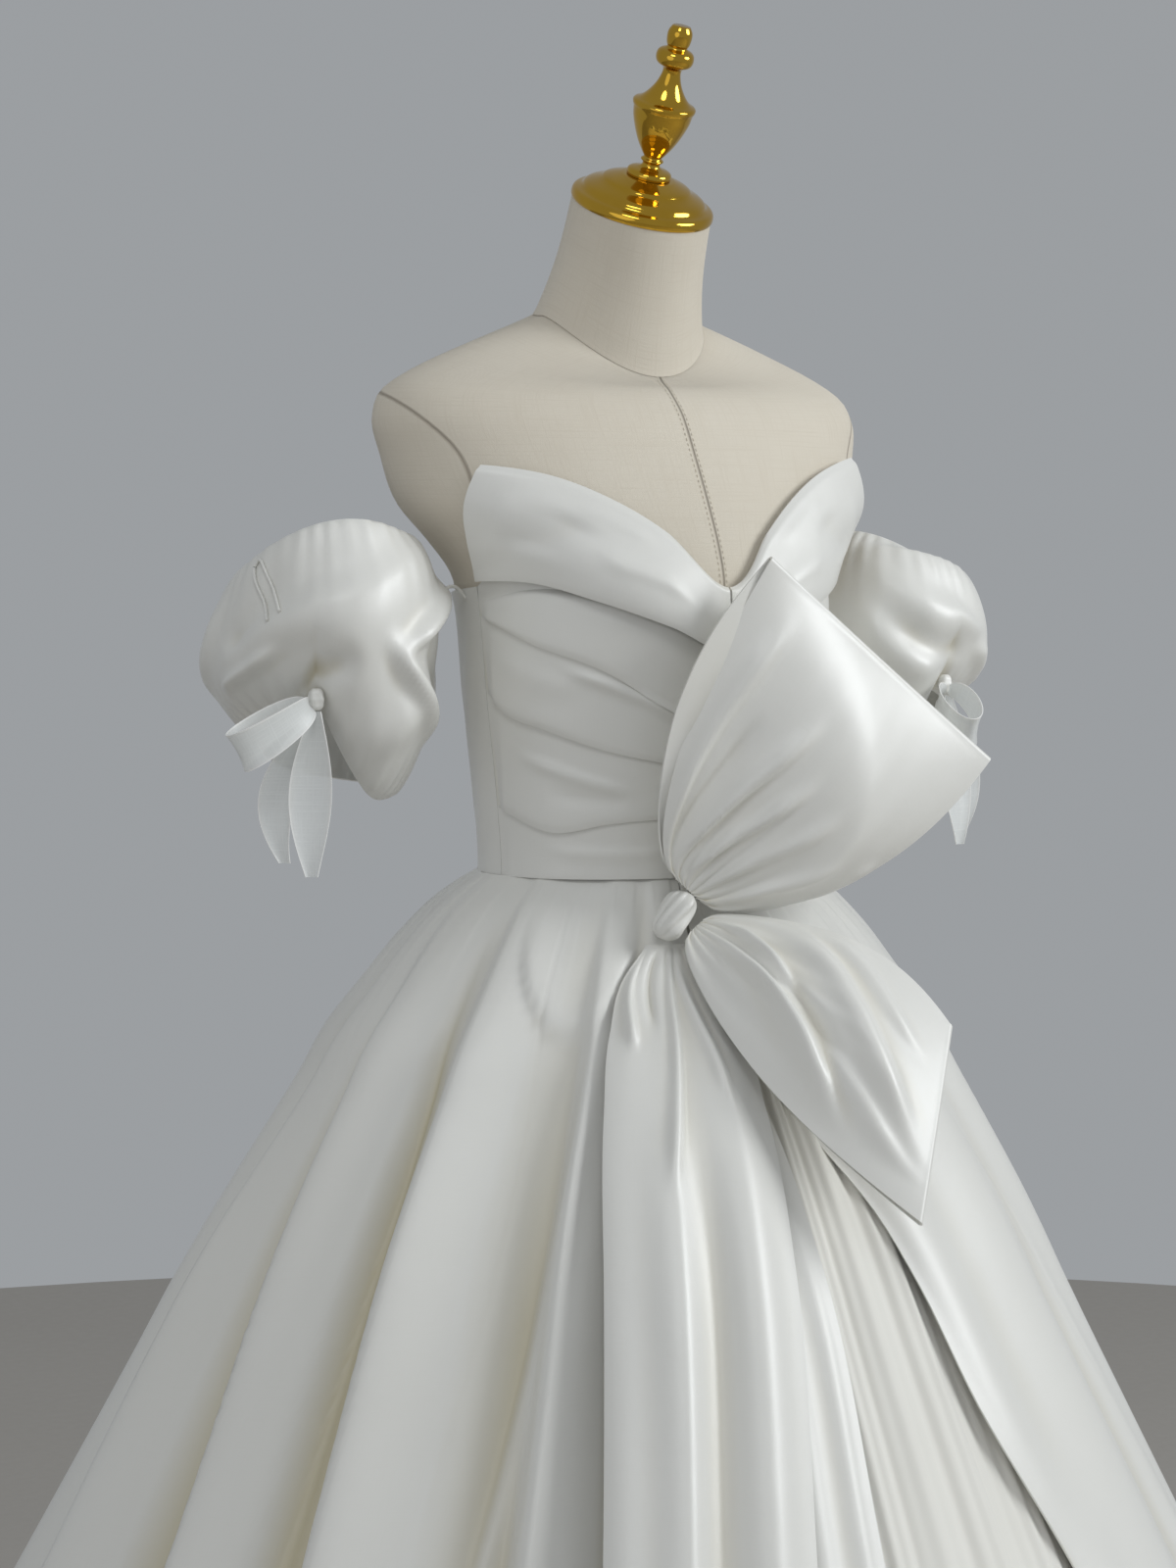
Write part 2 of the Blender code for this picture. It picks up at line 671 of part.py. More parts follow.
upperLoop = {
    "knot": (-0.0328, -0.1288, 1.0433),
    "cornerA": (0.011, -0.160, 1.272),
    "cornerB": (0.189, -0.170, 1.129),
    "steps": 7, "columns": 11, "foldRadius": 0.0045, "pinch": 0.11, "bulge": 0.50,
    "frontPuff": 0.034, "backPuff": 0.006, "gather": 0.007, "ridges": 4.0, "cup": 0.004,
}
lowerLoop = {
    "knot": (-0.0267, -0.1308, 1.0167),
    "cornerA": (0.036, -0.312, 0.838),
    "cornerB": (0.106, -0.246, 0.956),
    "steps": 7, "columns": 9, "foldRadius": 0.0045, "pinch": 0.12, "bulge": 0.50,
    "frontPuff": 0.024, "backPuff": 0.004, "gather": 0.006, "ridges": 3.0, "cup": -0.004,
}


def buildBow():
    """Two loops, the knot band and two tails."""
    satin = material("ivory_satin", (0.90, 0.89, 0.85), 0.35)
    bowLoop("bow_loop_upper", upperLoop, satin)
    bowLoop("bow_loop_lower", lowerLoop, satin)
    tail("bow_tail_front", frontTailTable, 15, 10, frontTailRidges, satin)
    tail("bow_tail_back", backTailTable, 6, 8, backTailRidges, satin, 0.002)
    centre = np.array(knotCentre)
    lean = math.radians(28.0)
    lengthwise = np.array([math.sin(lean), 0.0, math.cos(lean)])
    aside = np.array([math.cos(lean), 0.0, -math.sin(lean)])
    ahead = np.array([0.0, -1.0, 0.0])
    rings = []
    for step in np.linspace(-1.0, 1.0, 7):
        swell = 1.0 - 0.22 * step * step
        turn = np.arange(16) * math.pi / 8
        crease = 1.0 + 0.05 * np.cos(4 * turn)
        ring = centre + lengthwise * step * 0.0165
        ring = ring + np.outer(np.cos(turn) * crease, aside) * 0.0150 * swell
        ring = ring + np.outer(np.sin(turn) * crease, ahead) * 0.0150 * swell
        rings.append(ring)
    ringSolid("bow_knot", rings, satin)


def sleeveSection(away, v):
    """Radius and height of the puff; away is the turn from the tie and v runs down from the top edge."""
    size = {name: read(sleeveTable, name, away) for name in sleeveTable}
    arch = np.sin(math.pi * v) ** 0.7
    ripple = 0.003 * math.cos(math.radians(away) * 8.0) * arch
    return size["edge"] + size["bulge"] * arch + ripple, size["top"] + (size["low"] - size["top"]) * v


def sleeveSurface(columns, rows, tied):
    """A puff on the wearer's left: a wide band round the arm, drawn in where the ribbon ties it."""
    surface = []
    for away in np.arange(columns) * 360.0 / columns:
        radius, height = sleeveSection(away, np.linspace(0.0, 1.0, rows))
        surface.append(np.array(sleeveCentre) + onAzimuth(tied + away, radius, height))
    return np.array(surface)


def ribbon(name, centreLine, halfWidths, across, finish):
    """A narrow strip of ribbon along a line, with its width in the direction across."""
    centreLine = np.asarray(centreLine)
    across = np.asarray(across) / np.linalg.norm(across)
    surface = []
    for point, half in zip(centreLine, halfWidths):
        surface.append([point - across * half, point, point + across * half])
    return wallSolid(name, surface, ribbonWall, finish)


def buildHook(word, mirror, sleevePoints, finish):
    """A narrow satin loop from the cuff's low corner to the nearest point of the sleeve."""
    start = onBodice(88.0, hookHeight, bodiceClearance + bodiceWall + 0.0010)
    nearest = sleevePoints[np.argmin(np.linalg.norm(sleevePoints - start, axis=1))]
    heading = (nearest - start) / np.linalg.norm(nearest - start)
    end = nearest - heading * (sleeveWall / 2 + 3 * seamGap)
    aside = np.cross(heading, (0, 0, 1.0))
    turn = np.arange(8) * math.pi / 4
    section = (np.outer(np.cos(turn), aside) + np.outer(np.sin(turn), (0, 0, 1.0))) * hookRadius
    rings = []
    for step in np.linspace(0.0, 1.0, 7):
        rise = np.array([0.0, 0.0, 0.004 * math.sin(math.pi * step)])
        rings.append((start + (end - start) * step + rise + section) * mirror)
    ringSolid(f"sleeve_hook_{word}", rings, finish)


def buildSleeve(word, side, tied, loopTurn):
    """A puff sleeve tied with ribbon at an azimuth; loopTurn swings the tie's loop to the back."""
    satin = material("ivory_satin", (0.90, 0.89, 0.85), 0.35)
    sheer = material("sheer_ribbon", (0.92, 0.92, 0.90), 0.45)
    mirror = np.array([side, 1.0, 1.0])
    surface = sleeveSurface(26, 8, tied)
    wallSolid(f"sleeve_{word}", surface * mirror, sleeveWall, satin, wrap=True)
    buildHook(word, mirror, surface.reshape(-1, 3), satin)
    turn = math.radians(tied)
    outward = np.array([math.sin(turn), -math.cos(turn), 0.0])
    back = np.array([math.cos(turn), math.sin(turn), 0.0])
    up = np.array([0.0, 0.0, 1.0])
    pinchRadius = sleeveTable["edge"][0] + 0.0165
    seat = np.array(sleeveCentre) + outward * (pinchRadius + 0.0053) - up * 0.028
    rings = []
    ringTurn = np.arange(10) * math.pi / 5
    for step in np.linspace(-1.0, 1.0, 5):
        swell = math.sqrt(max(0.12, 1.0 - 0.8 * step * step))
        ring = seat + up * step * 0.0075 + np.outer(np.cos(ringTurn), back) * 0.0060 * swell
        rings.append((ring + np.outer(np.sin(ringTurn), outward) * 0.0052 * swell) * mirror)
    ringSolid(f"tie_knot_{word}", rings, sheer)
    swing = math.radians(loopTurn)
    loopRun = (back * math.sin(swing) + outward * math.cos(swing)) * 0.87 - up * 0.50
    loopOut = outward * math.sin(swing) - back * math.cos(swing)
    loopLine = []
    for step in np.linspace(0.0, 1.0, 13):
        angle = math.pi * (2.0 * step - 1.0)
        reach = 0.031 + 0.031 * math.cos(angle)
        opened = 0.012 * math.sin(angle)
        loopLine.append(seat + loopRun * (reach + 0.0070) + loopOut * opened)
    loopLine[0] = loopLine[0] - loopOut * 0.0012
    loopLine[-1] = loopLine[-1] + loopOut * 0.0012
    widths = [0.0032 + 0.0112 * math.sin(math.pi * step) ** 0.6 for step in np.linspace(0.0, 1.0, 13)]
    tilt = np.cross(loopRun, loopOut)
    ribbon(f"tie_loop_{word}", np.array(loopLine) * mirror, widths, tilt * mirror, sheer)
    for number, size in enumerate(tieTailTable):
        line = []
        half = []
        for step in np.linspace(0.0, 1.0, 9):
            sway = size["sway"] * math.sin(math.pi * step * 0.75) + size["shift"] * step
            lean = size["stand"] * step + size["start"]
            line.append(seat - up * (0.0082 + size["drop"] * step) + back * sway + outward * lean)
            half.append(0.0022 + size["width"] * math.sin(math.pi * (0.05 + 0.88 * step)) ** 1.2)
        ribbon(f"tie_tail_{word}_{number + 1}", np.array(line) * mirror, half, back * mirror, sheer)


for old in list(bpy.data.objects):
    bpy.data.objects.remove(old, do_unlink=True)
buildForm()
buildBodice()
buildSkirt()
buildBow()
buildSleeve("left", 1.0, leftTieAzimuth, leftLoopTurn)
buildSleeve("right", -1.0, rightTieAzimuth, rightLoopTurn)
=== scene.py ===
import math

import bpy
import numpy as np
from mathutils import Matrix


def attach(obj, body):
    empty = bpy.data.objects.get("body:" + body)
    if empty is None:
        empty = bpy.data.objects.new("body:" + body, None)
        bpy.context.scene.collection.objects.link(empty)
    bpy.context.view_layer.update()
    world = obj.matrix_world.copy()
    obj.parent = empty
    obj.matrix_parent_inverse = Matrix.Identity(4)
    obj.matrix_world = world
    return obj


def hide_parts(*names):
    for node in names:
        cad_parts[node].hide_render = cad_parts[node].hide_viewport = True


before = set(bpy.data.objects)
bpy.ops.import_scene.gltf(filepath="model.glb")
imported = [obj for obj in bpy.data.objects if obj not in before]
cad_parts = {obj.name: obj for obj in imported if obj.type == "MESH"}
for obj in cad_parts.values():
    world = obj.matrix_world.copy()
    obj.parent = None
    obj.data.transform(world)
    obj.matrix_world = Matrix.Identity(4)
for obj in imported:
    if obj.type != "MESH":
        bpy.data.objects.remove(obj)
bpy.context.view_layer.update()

scene = bpy.context.scene
scene.view_settings.view_transform = "Standard"

# Metres, +Z up, front at -Y, wearer's left at +X. Azimuth 0 is the front, 90 the wearer's left.
garment = {"waistHeight": 1.048, "hemHeight": 0.008, "skinGap": 0.0012, "seamGap": 0.0003}


def columnsOf(columns, *rows):
    values = np.array(rows, dtype=float)
    return {name: values[:, i] for i, name in enumerate(columns.split())}


def along(xs, ys, x):
    # smooth curve through a table's points, flat past its ends
    slopes = np.gradient(ys, xs)
    x = np.clip(x, xs[0], xs[-1])
    i = np.clip(np.searchsorted(xs, x) - 1, 0, len(xs) - 2)
    step = xs[i + 1] - xs[i]
    t = (x - xs[i]) / step
    rise = ys[i + 1] - ys[i]
    bend = (slopes[i] + slopes[i + 1]) * step - 2.0 * rise
    lean = 3.0 * rise - (2.0 * slopes[i] + slopes[i + 1]) * step
    return ys[i] + t * (slopes[i] * step + t * (lean + t * bend))


def read(source, column, x):
    first = next(iter(source.values()))
    return along(first, source[column], x)


def smoothStep(x):
    x = np.clip(x, 0.0, 1.0)
    return x * x * (3.0 - 2.0 * x)


def creaseTable(*rows):
    return columnsOf("x1 y1 x2 y2 bow width rise sharp", *rows)


def stretched(lines, factor):
    # the same creases with their places across multiplied, such as from degrees to metres
    return {**lines, "x1": lines["x1"] * factor, "x2": lines["x2"] * factor}


def creases(x, y, lines, fade=0.3):
    # soft ridges (rise above 0) and troughs along bowed lines, each fading out over a share of its length;
    # sharp below 1 steepens the side where aside is above 0
    total = np.zeros(np.broadcast(x, y).shape)
    for x1, y1, x2, y2, bow, width, rise, sharp in zip(*lines.values()):
        length = math.hypot(x2 - x1, y2 - y1)
        runX = (x2 - x1) / length
        runY = (y2 - y1) / length
        ahead = ((x - x1) * runX + (y - y1) * runY) / length
        aside = (y - y1) * runX - (x - x1) * runY - bow * np.sin(math.pi * np.clip(ahead, 0.0, 1.0))
        spread = np.where(aside > 0.0, width * sharp, width)
        ends = smoothStep(ahead / fade) * smoothStep((1.0 - ahead) / fade)
        total = total + rise * np.exp(-(aside / spread) ** 2) * ends
    return total


def onAzimuth(azimuth, radius, height):
    turn = np.radians(azimuth)
    return np.stack(np.broadcast_arrays(radius * np.sin(turn), -radius * np.cos(turn), height), -1)


def wrapped(azimuth):
    return (azimuth + 180.0) % 360.0 - 180.0


# Shader helpers

def addNode(tree, kind, **values):
    made = tree.nodes.new(kind)
    for key, value in values.items():
        setattr(made, key, value)
    return made


def plug(tree, socket, value):
    if isinstance(value, bpy.types.NodeSocket):
        tree.links.new(value, socket)
    else:
        socket.default_value = value


def mathOn(tree, operation, *values):
    made = addNode(tree, "ShaderNodeMath", operation=operation)
    for socket, value in zip(made.inputs, values):
        plug(tree, socket, value)
    return made.outputs[0]


def noiseOn(tree, vector, scale, detail=3.0, roughness=0.5):
    made = addNode(tree, "ShaderNodeTexNoise")
    plug(tree, made.inputs["Vector"], vector)
    plug(tree, made.inputs["Scale"], scale)
    made.inputs["Detail"].default_value = detail
    made.inputs["Roughness"].default_value = roughness
    return made.outputs["Fac"]


def rangeOn(tree, value, low, high, toLow, toHigh):
    made = addNode(tree, "ShaderNodeMapRange")
    for key, number in zip(("From Min", "From Max", "To Min", "To Max"), (low, high, toLow, toHigh)):
        plug(tree, made.inputs[key], number)
    plug(tree, made.inputs["Value"], value)
    return made.outputs["Result"]


def weighedSum(tree, first, firstShare, second, secondShare):
    return mathOn(tree, "ADD", mathOn(tree, "MULTIPLY", first, firstShare),
                  mathOn(tree, "MULTIPLY", second, secondShare))


def blendOn(tree, factor, first, second):
    made = addNode(tree, "ShaderNodeMix", data_type="RGBA")
    plug(tree, made.inputs["Factor"], factor)
    colours = [socket for socket in made.inputs if socket.type == "RGBA"]
    plug(tree, colours[0], first)
    plug(tree, colours[1], second)
    return next(socket for socket in made.outputs if socket.type == "RGBA")


def bumpOn(tree, height, distance, strength, normal=None):
    made = addNode(tree, "ShaderNodeBump")
    plug(tree, made.inputs["Height"], height)
    made.inputs["Distance"].default_value = distance
    made.inputs["Strength"].default_value = strength
    if normal is not None:
        tree.links.new(normal, made.inputs["Normal"])
    return made.outputs["Normal"]


def newGroup(name, inputs, outputs):
    group = bpy.data.node_groups.new(name, "ShaderNodeTree")
    for word, kind in inputs:
        group.interface.new_socket(word, in_out="INPUT", socket_type=kind)
    for word, kind in outputs:
        group.interface.new_socket(word, in_out="OUTPUT", socket_type=kind)
    start = group.nodes.new("NodeGroupInput")
    end = group.nodes.new("NodeGroupOutput")
    return group, start.outputs, end.inputs


def weaveGroup():
    # over and under threads on a piece's own UV map, with uneven slubs
    group, given, result = newGroup(
        "weave",
        [("Coordinates", "NodeSocketVector"), ("Threads", "NodeSocketFloat"), ("Slubs", "NodeSocketFloat")],
        [("Height", "NodeSocketFloat"), ("Tone", "NodeSocketFloat")])
    split = addNode(group, "ShaderNodeSeparateXYZ")
    group.links.new(given["Coordinates"], split.inputs[0])
    turn = mathOn(group, "MULTIPLY", given["Threads"], 2.0 * math.pi)
    warp = mathOn(group, "SINE", mathOn(group, "MULTIPLY", split.outputs["X"], turn))
    weft = mathOn(group, "SINE", mathOn(group, "MULTIPLY", split.outputs["Y"], turn))
    threads = mathOn(group, "MULTIPLY", warp, weft)
    slubsEachWay = []
    for stretch in ((0.6, 0.02, 1.0), (0.02, 0.6, 1.0)):
        mapping = addNode(group, "ShaderNodeMapping")
        group.links.new(given["Coordinates"], mapping.inputs["Vector"])
        mapping.inputs["Scale"].default_value = stretch
        slubsEachWay.append(noiseOn(group, mapping.outputs[0], given["Threads"], 2.0))
    slubs = mathOn(group, "MAXIMUM", *slubsEachWay)
    uneven = mathOn(group, "MULTIPLY", slubs, given["Slubs"])
    plug(group, result["Height"], mathOn(group, "ADD", mathOn(group, "MULTIPLY", threads, 0.5), uneven))
    plug(group, result["Tone"], rangeOn(group, slubs, 0.45, 0.75, 0.0, 1.0))
    return group


def seamGroup():
    # 1 on a line, 0 away from it
    group, given, result = newGroup(
        "seamLine", [("Distance", "NodeSocketFloat"), ("Width", "NodeSocketFloat")],
        [("Mask", "NodeSocketFloat")])
    away = mathOn(group, "DIVIDE", mathOn(group, "ABSOLUTE", given["Distance"]), given["Width"])
    plug(group, result["Mask"], rangeOn(group, away, 0.0, 1.0, 1.0, 0.0))
    return group


weave = weaveGroup()
seamLine = seamGroup()


def placeGroup(tree, group, **values):
    made = addNode(tree, "ShaderNodeGroup", node_tree=group)
    for word, value in values.items():
        plug(tree, made.inputs[word], value)
    return made.outputs


def newMaterial(name, roughness, metallic=0.0, **fixed):
    made = bpy.data.materials.new(name)
    made.use_nodes = True
    tree = made.node_tree
    shader = tree.nodes["Principled BSDF"]
    shader.inputs["Roughness"].default_value = roughness
    shader.inputs["Metallic"].default_value = metallic
    for word, value in fixed.items():
        shader.inputs[word].default_value = value
    coordinates = addNode(tree, "ShaderNodeTexCoord").outputs
    return made, tree, shader.inputs, coordinates


# light and deep are the satin's own uneven tone; the third colour of the first row is painted shade for folds
# and creases
satinValues = {
    "light": (0.808, 0.802, 0.765, 1), "deep": (0.765, 0.752, 0.700, 1), "paintedShade": (0.610, 0.555, 0.400, 1),
    "roughness": (0.31, 0.41), "threadShare": 0.25, "driftShare": 0.7, "driftPerMetre": 5.0,
    "threadsPerMetre": 2400.0, "slubs": 0.4, "threadDepth": 0.00006,
    "puckerPerMetre": 20.0, "puckerDepth": 0.0012, "puckerStrength": 0.55,
    "sockets": {"Specular IOR Level": 0.75, "Sheen Weight": 0.14, "Sheen Roughness": 0.30,
                "Coat Weight": 0.24, "Coat Roughness": 0.30},
}


def makeSatin(name, values):
    # each satin mesh's share of painted shade, larger where the cloth lies deep, brings in a darker, warmer
    # colour: painted shade in the folds and creases
    finish, tree, shader, where = newMaterial(name, values["roughness"][0], **values["sockets"])
    threads = placeGroup(tree, weave, Coordinates=where["UV"], Threads=values["threadsPerMetre"],
                         Slubs=values["slubs"])
    drift = noiseOn(tree, where["Object"], values["driftPerMetre"], 2.0)
    tone = weighedSum(tree, threads["Tone"], values["threadShare"], drift, values["driftShare"])
    # painted shade: the mesh's share of how deep the cloth lies darkens and warms the colour
    paintedShade = addNode(tree, "ShaderNodeAttribute", attribute_name="paintedShade").outputs["Fac"]
    cloth = blendOn(tree, tone, values["light"], values["deep"])
    plug(tree, shader["Base Color"], blendOn(tree, paintedShade, cloth, values["paintedShade"]))
    plug(tree, shader["Roughness"], rangeOn(tree, drift, 0.3, 0.7, *values["roughness"]))
    pucker = noiseOn(tree, where["Object"], values["puckerPerMetre"], 2.0, 0.45)
    soft = bumpOn(tree, pucker, values["puckerDepth"], values["puckerStrength"])
    plug(tree, shader["Normal"], bumpOn(tree, threads["Height"], values["threadDepth"], 0.5, soft))
    return finish


tulleValues = {
    "light": (0.87, 0.855, 0.80, 1), "deep": (0.82, 0.80, 0.735, 1), "roughness": 0.75, "sheen": 0.35,
    "threadsPerMetre": 620.0, "slubs": 0.2, "threadDepth": 0.0003, "driftPerMetre": 9.0,
}


def makeTulle(name, values):
    finish, tree, shader, where = newMaterial(name, values["roughness"], **{"Sheen Weight": values["sheen"]})
    threads = placeGroup(tree, weave, Coordinates=where["UV"], Threads=values["threadsPerMetre"],
                         Slubs=values["slubs"])
    drift = noiseOn(tree, where["Object"], values["driftPerMetre"], 2.0)
    plug(tree, shader["Base Color"], blendOn(tree, drift, values["light"], values["deep"]))
    plug(tree, shader["Normal"], bumpOn(tree, threads["Height"], values["threadDepth"], 0.6))
    return finish


organzaValues = {
    "sheer": (0.86, 0.875, 0.86, 1), "edge": (0.92, 0.915, 0.89, 1), "alpha": (0.56, 0.63), "roughness": 0.38,
    "sheen": 0.3, "threadsPerMetre": 1500.0, "slubs": 0.4, "threadDepth": 0.00004,
}


def makeOrganza(name, values):
    # sheer between two woven satin edges, which the share named ribbonEdge marks
    finish, tree, shader, where = newMaterial(name, values["roughness"], **{"Sheen Weight": values["sheen"]})
    edge = addNode(tree, "ShaderNodeAttribute", attribute_name="ribbonEdge").outputs["Fac"]
    threads = placeGroup(tree, weave, Coordinates=where["UV"], Threads=values["threadsPerMetre"],
                         Slubs=values["slubs"])
    sheer = rangeOn(tree, threads["Tone"], 0.0, 1.0, *values["alpha"])
    plug(tree, shader["Alpha"], mathOn(tree, "MAXIMUM", sheer, edge))
    plug(tree, shader["Base Color"], blendOn(tree, edge, values["sheer"], values["edge"]))
    plug(tree, shader["Normal"], bumpOn(tree, threads["Height"], values["threadDepth"], 0.4))
    return finish


# the dark brown seam colour is painted shade of the seam grooves, laid along the real seam lines
linenValues = {
    "light": (0.775, 0.715, 0.605, 1), "deep": (0.655, 0.580, 0.465, 1), "seam": (0.34, 0.28, 0.21, 1),
    "roughness": 0.85, "sheen": 0.15, "threadShare": 0.26, "driftShare": 0.50, "driftPerMetre": 14.0,
    "threadsPerMetre": 1050.0, "slubs": 1.2, "threadDepth": 0.00025,
    "armPlateY": 0.045, "armPlateZ": 1.300, "armPlateLong": 0.090, "armPlateFromX": 0.12,
    "seamWidth": 0.0013, "seamDepth": 0.0012, "seamShare": 0.75,
}


def armPlateDistance(tree, y, z, values):
    # how far a place lies outside the round plate that closes each arm opening
    aside = mathOn(tree, "DIVIDE", mathOn(tree, "SUBTRACT", y, values["armPlateY"]), values["armPlateLong"])
    upward = mathOn(tree, "DIVIDE", mathOn(tree, "SUBTRACT", z, values["armPlateZ"]), values["armPlateLong"])
    squares = mathOn(tree, "ADD", mathOn(tree, "POWER", aside, 2.0), mathOn(tree, "POWER", upward, 2.0))
    past = mathOn(tree, "SUBTRACT", mathOn(tree, "SQRT", squares), 1.0)
    return mathOn(tree, "MULTIPLY", past, values["armPlateLong"])


def makeLinen(name, values, withSeams):
    finish, tree, shader, where = newMaterial(name, values["roughness"], **{"Sheen Weight": values["sheen"]})
    threads = placeGroup(tree, weave, Coordinates=where["UV"], Threads=values["threadsPerMetre"],
                         Slubs=values["slubs"])
    drift = noiseOn(tree, where["Object"], values["driftPerMetre"], 4.0)
    tone = weighedSum(tree, threads["Tone"], values["threadShare"], drift, values["driftShare"])
    cloth = blendOn(tree, tone, values["light"], values["deep"])
    normal = bumpOn(tree, threads["Height"], values["threadDepth"], 0.8)
    if withSeams:
        split = addNode(tree, "ShaderNodeSeparateXYZ")
        tree.links.new(where["Object"], split.inputs[0])
        x, y, z = split.outputs
        plate = armPlateDistance(tree, y, z, values)
        onSide = mathOn(tree, "GREATER_THAN", mathOn(tree, "ABSOLUTE", x), values["armPlateFromX"])
        middle = placeGroup(tree, seamLine, Distance=x, Width=values["seamWidth"])["Mask"]
        arm = placeGroup(tree, seamLine, Distance=plate, Width=values["seamWidth"])["Mask"]
        mask = mathOn(tree, "MAXIMUM", middle, mathOn(tree, "MULTIPLY", arm, onSide))
        # painted shade: the seam lines take the darker colour for the shade in their grooves; the groove
        # itself is the bump below
        cloth = blendOn(tree, mathOn(tree, "MULTIPLY", mask, values["seamShare"]), cloth, values["seam"])
        normal = bumpOn(tree, mathOn(tree, "SUBTRACT", 0.0, mask), values["seamDepth"], 1.0, normal)
    plug(tree, shader["Base Color"], cloth)
    plug(tree, shader["Normal"], normal)
    return finish


metalValues = {
    "gold": {"light": (0.70, 0.43, 0.055, 1), "deep": (0.60, 0.35, 0.04, 1), "roughness": 0.07,
             "grain": (1.0, 1.0, 3.0)},
    "steel": {"light": (0.76, 0.75, 0.73, 1), "deep": (0.66, 0.65, 0.63, 1), "roughness": 0.30,
              "grain": (1.0, 1.0, 12.0)},
}


def makeMetal(name, values):
    finish, tree, shader, where = newMaterial(name, values["roughness"], 1.0)
    mapping = addNode(tree, "ShaderNodeMapping")
    tree.links.new(where["Object"], mapping.inputs["Vector"])
    mapping.inputs["Scale"].default_value = values["grain"]
    brush = noiseOn(tree, mapping.outputs[0], 60.0, 4.0, 0.6)
    smudge = noiseOn(tree, where["Object"], 45.0, 3.0)
    plug(tree, shader["Base Color"], blendOn(tree, smudge, values["light"], values["deep"]))
    rough = rangeOn(tree, brush, 0.3, 0.7, values["roughness"] * 0.75, values["roughness"] * 1.35)
    plug(tree, shader["Roughness"], rough)
    plug(tree, shader["Normal"], bumpOn(tree, brush, 0.00008, 0.35))
    return finish


print("making finishes")
satin = makeSatin("ivorySatin", satinValues)
tulle = makeTulle("tulleNet", tulleValues)
organza = makeOrganza("organzaRibbon", organzaValues)
linen = makeLinen("formLinen", linenValues, True)
neckLinen = makeLinen("neckLinen", linenValues, False)
gold = makeMetal("polishedGold", metalValues["gold"])
steel = makeMetal("standSteel", metalValues["steel"])


# Mesh helpers
meshValues = {"sharpAngle": 60.0, "leastAreaShare": 0.301}

def addPiece(name, points, faces, corners, finish, shares=()):
    points = np.asarray(points)
    quads = np.array([face if len(face) == 4 else (*face, face[0]) for face in faces])
    a, b, c, d = (points[quads[:, i]] for i in range(4))
    volume = np.sum(a * np.cross(b, c)) + np.sum(a * np.cross(c, d))
    if volume < 0.0:
        faces = [face[::-1] for face in faces]
        corners = [corner[::-1] for corner in corners]
    mesh = bpy.data.meshes.new(name)
    mesh.from_pydata(points.tolist(), [], [list(map(int, face)) for face in faces])
    layer = mesh.uv_layers.new(name="clothMap")
    layer.data.foreach_set("uv", np.concatenate([np.asarray(corner).ravel() for corner in corners]))
    for word, share in shares:
        mesh.attributes.new(word, "FLOAT", "POINT").data.foreach_set("value", np.asarray(share, dtype=float))
    mesh.shade_smooth()
    mesh.set_sharp_from_angle(angle=math.radians(meshValues["sharpAngle"]))
    mesh.materials.append(finish)
    made = bpy.data.objects.new(name, mesh)
    scene.collection.objects.link(made)
    return made


def gridNormals(surface, wrap):
    if wrap:
        spread = np.concatenate([surface[-1:], surface, surface[:1]])
        across = spread[2:] - spread[:-2]
    else:
        across = np.gradient(surface, axis=0)
    normal = np.cross(across, np.gradient(surface, axis=1))
    return normal / np.maximum(np.linalg.norm(normal, axis=2, keepdims=True), 1e-12)


def clothArcs(surface, wrap):
    closed = np.concatenate([surface, surface[:1]]) if wrap else surface
    acrossSteps = np.linalg.norm(np.diff(closed, axis=0), axis=2)
    downSteps = np.linalg.norm(np.diff(closed, axis=1), axis=2)
    return closed, acrossSteps, downSteps


def paintedShadeShare(surface, normal, wrap, heart, passes, depth):
    # how far each place of a cloth lies below its surroundings, 0 to 1, as seen from outside its heart; it is
    # the mask of painted shade in the folds
    even = surface.copy()
    for _ in range(passes):
        wide = np.concatenate([even[-1:], even, even[:1]] if wrap else [even[:1], even, even[-1:]])
        even = (wide[:-2] + 2.0 * even + wide[2:]) / 4.0
    known = len(heart)
    outward = np.sign(np.sum(normal[..., :known] * (surface[..., :known] - np.array(heart))))
    return np.clip(np.sum((even - surface) * normal, axis=2) * outward / depth, 0.0, 1.0)


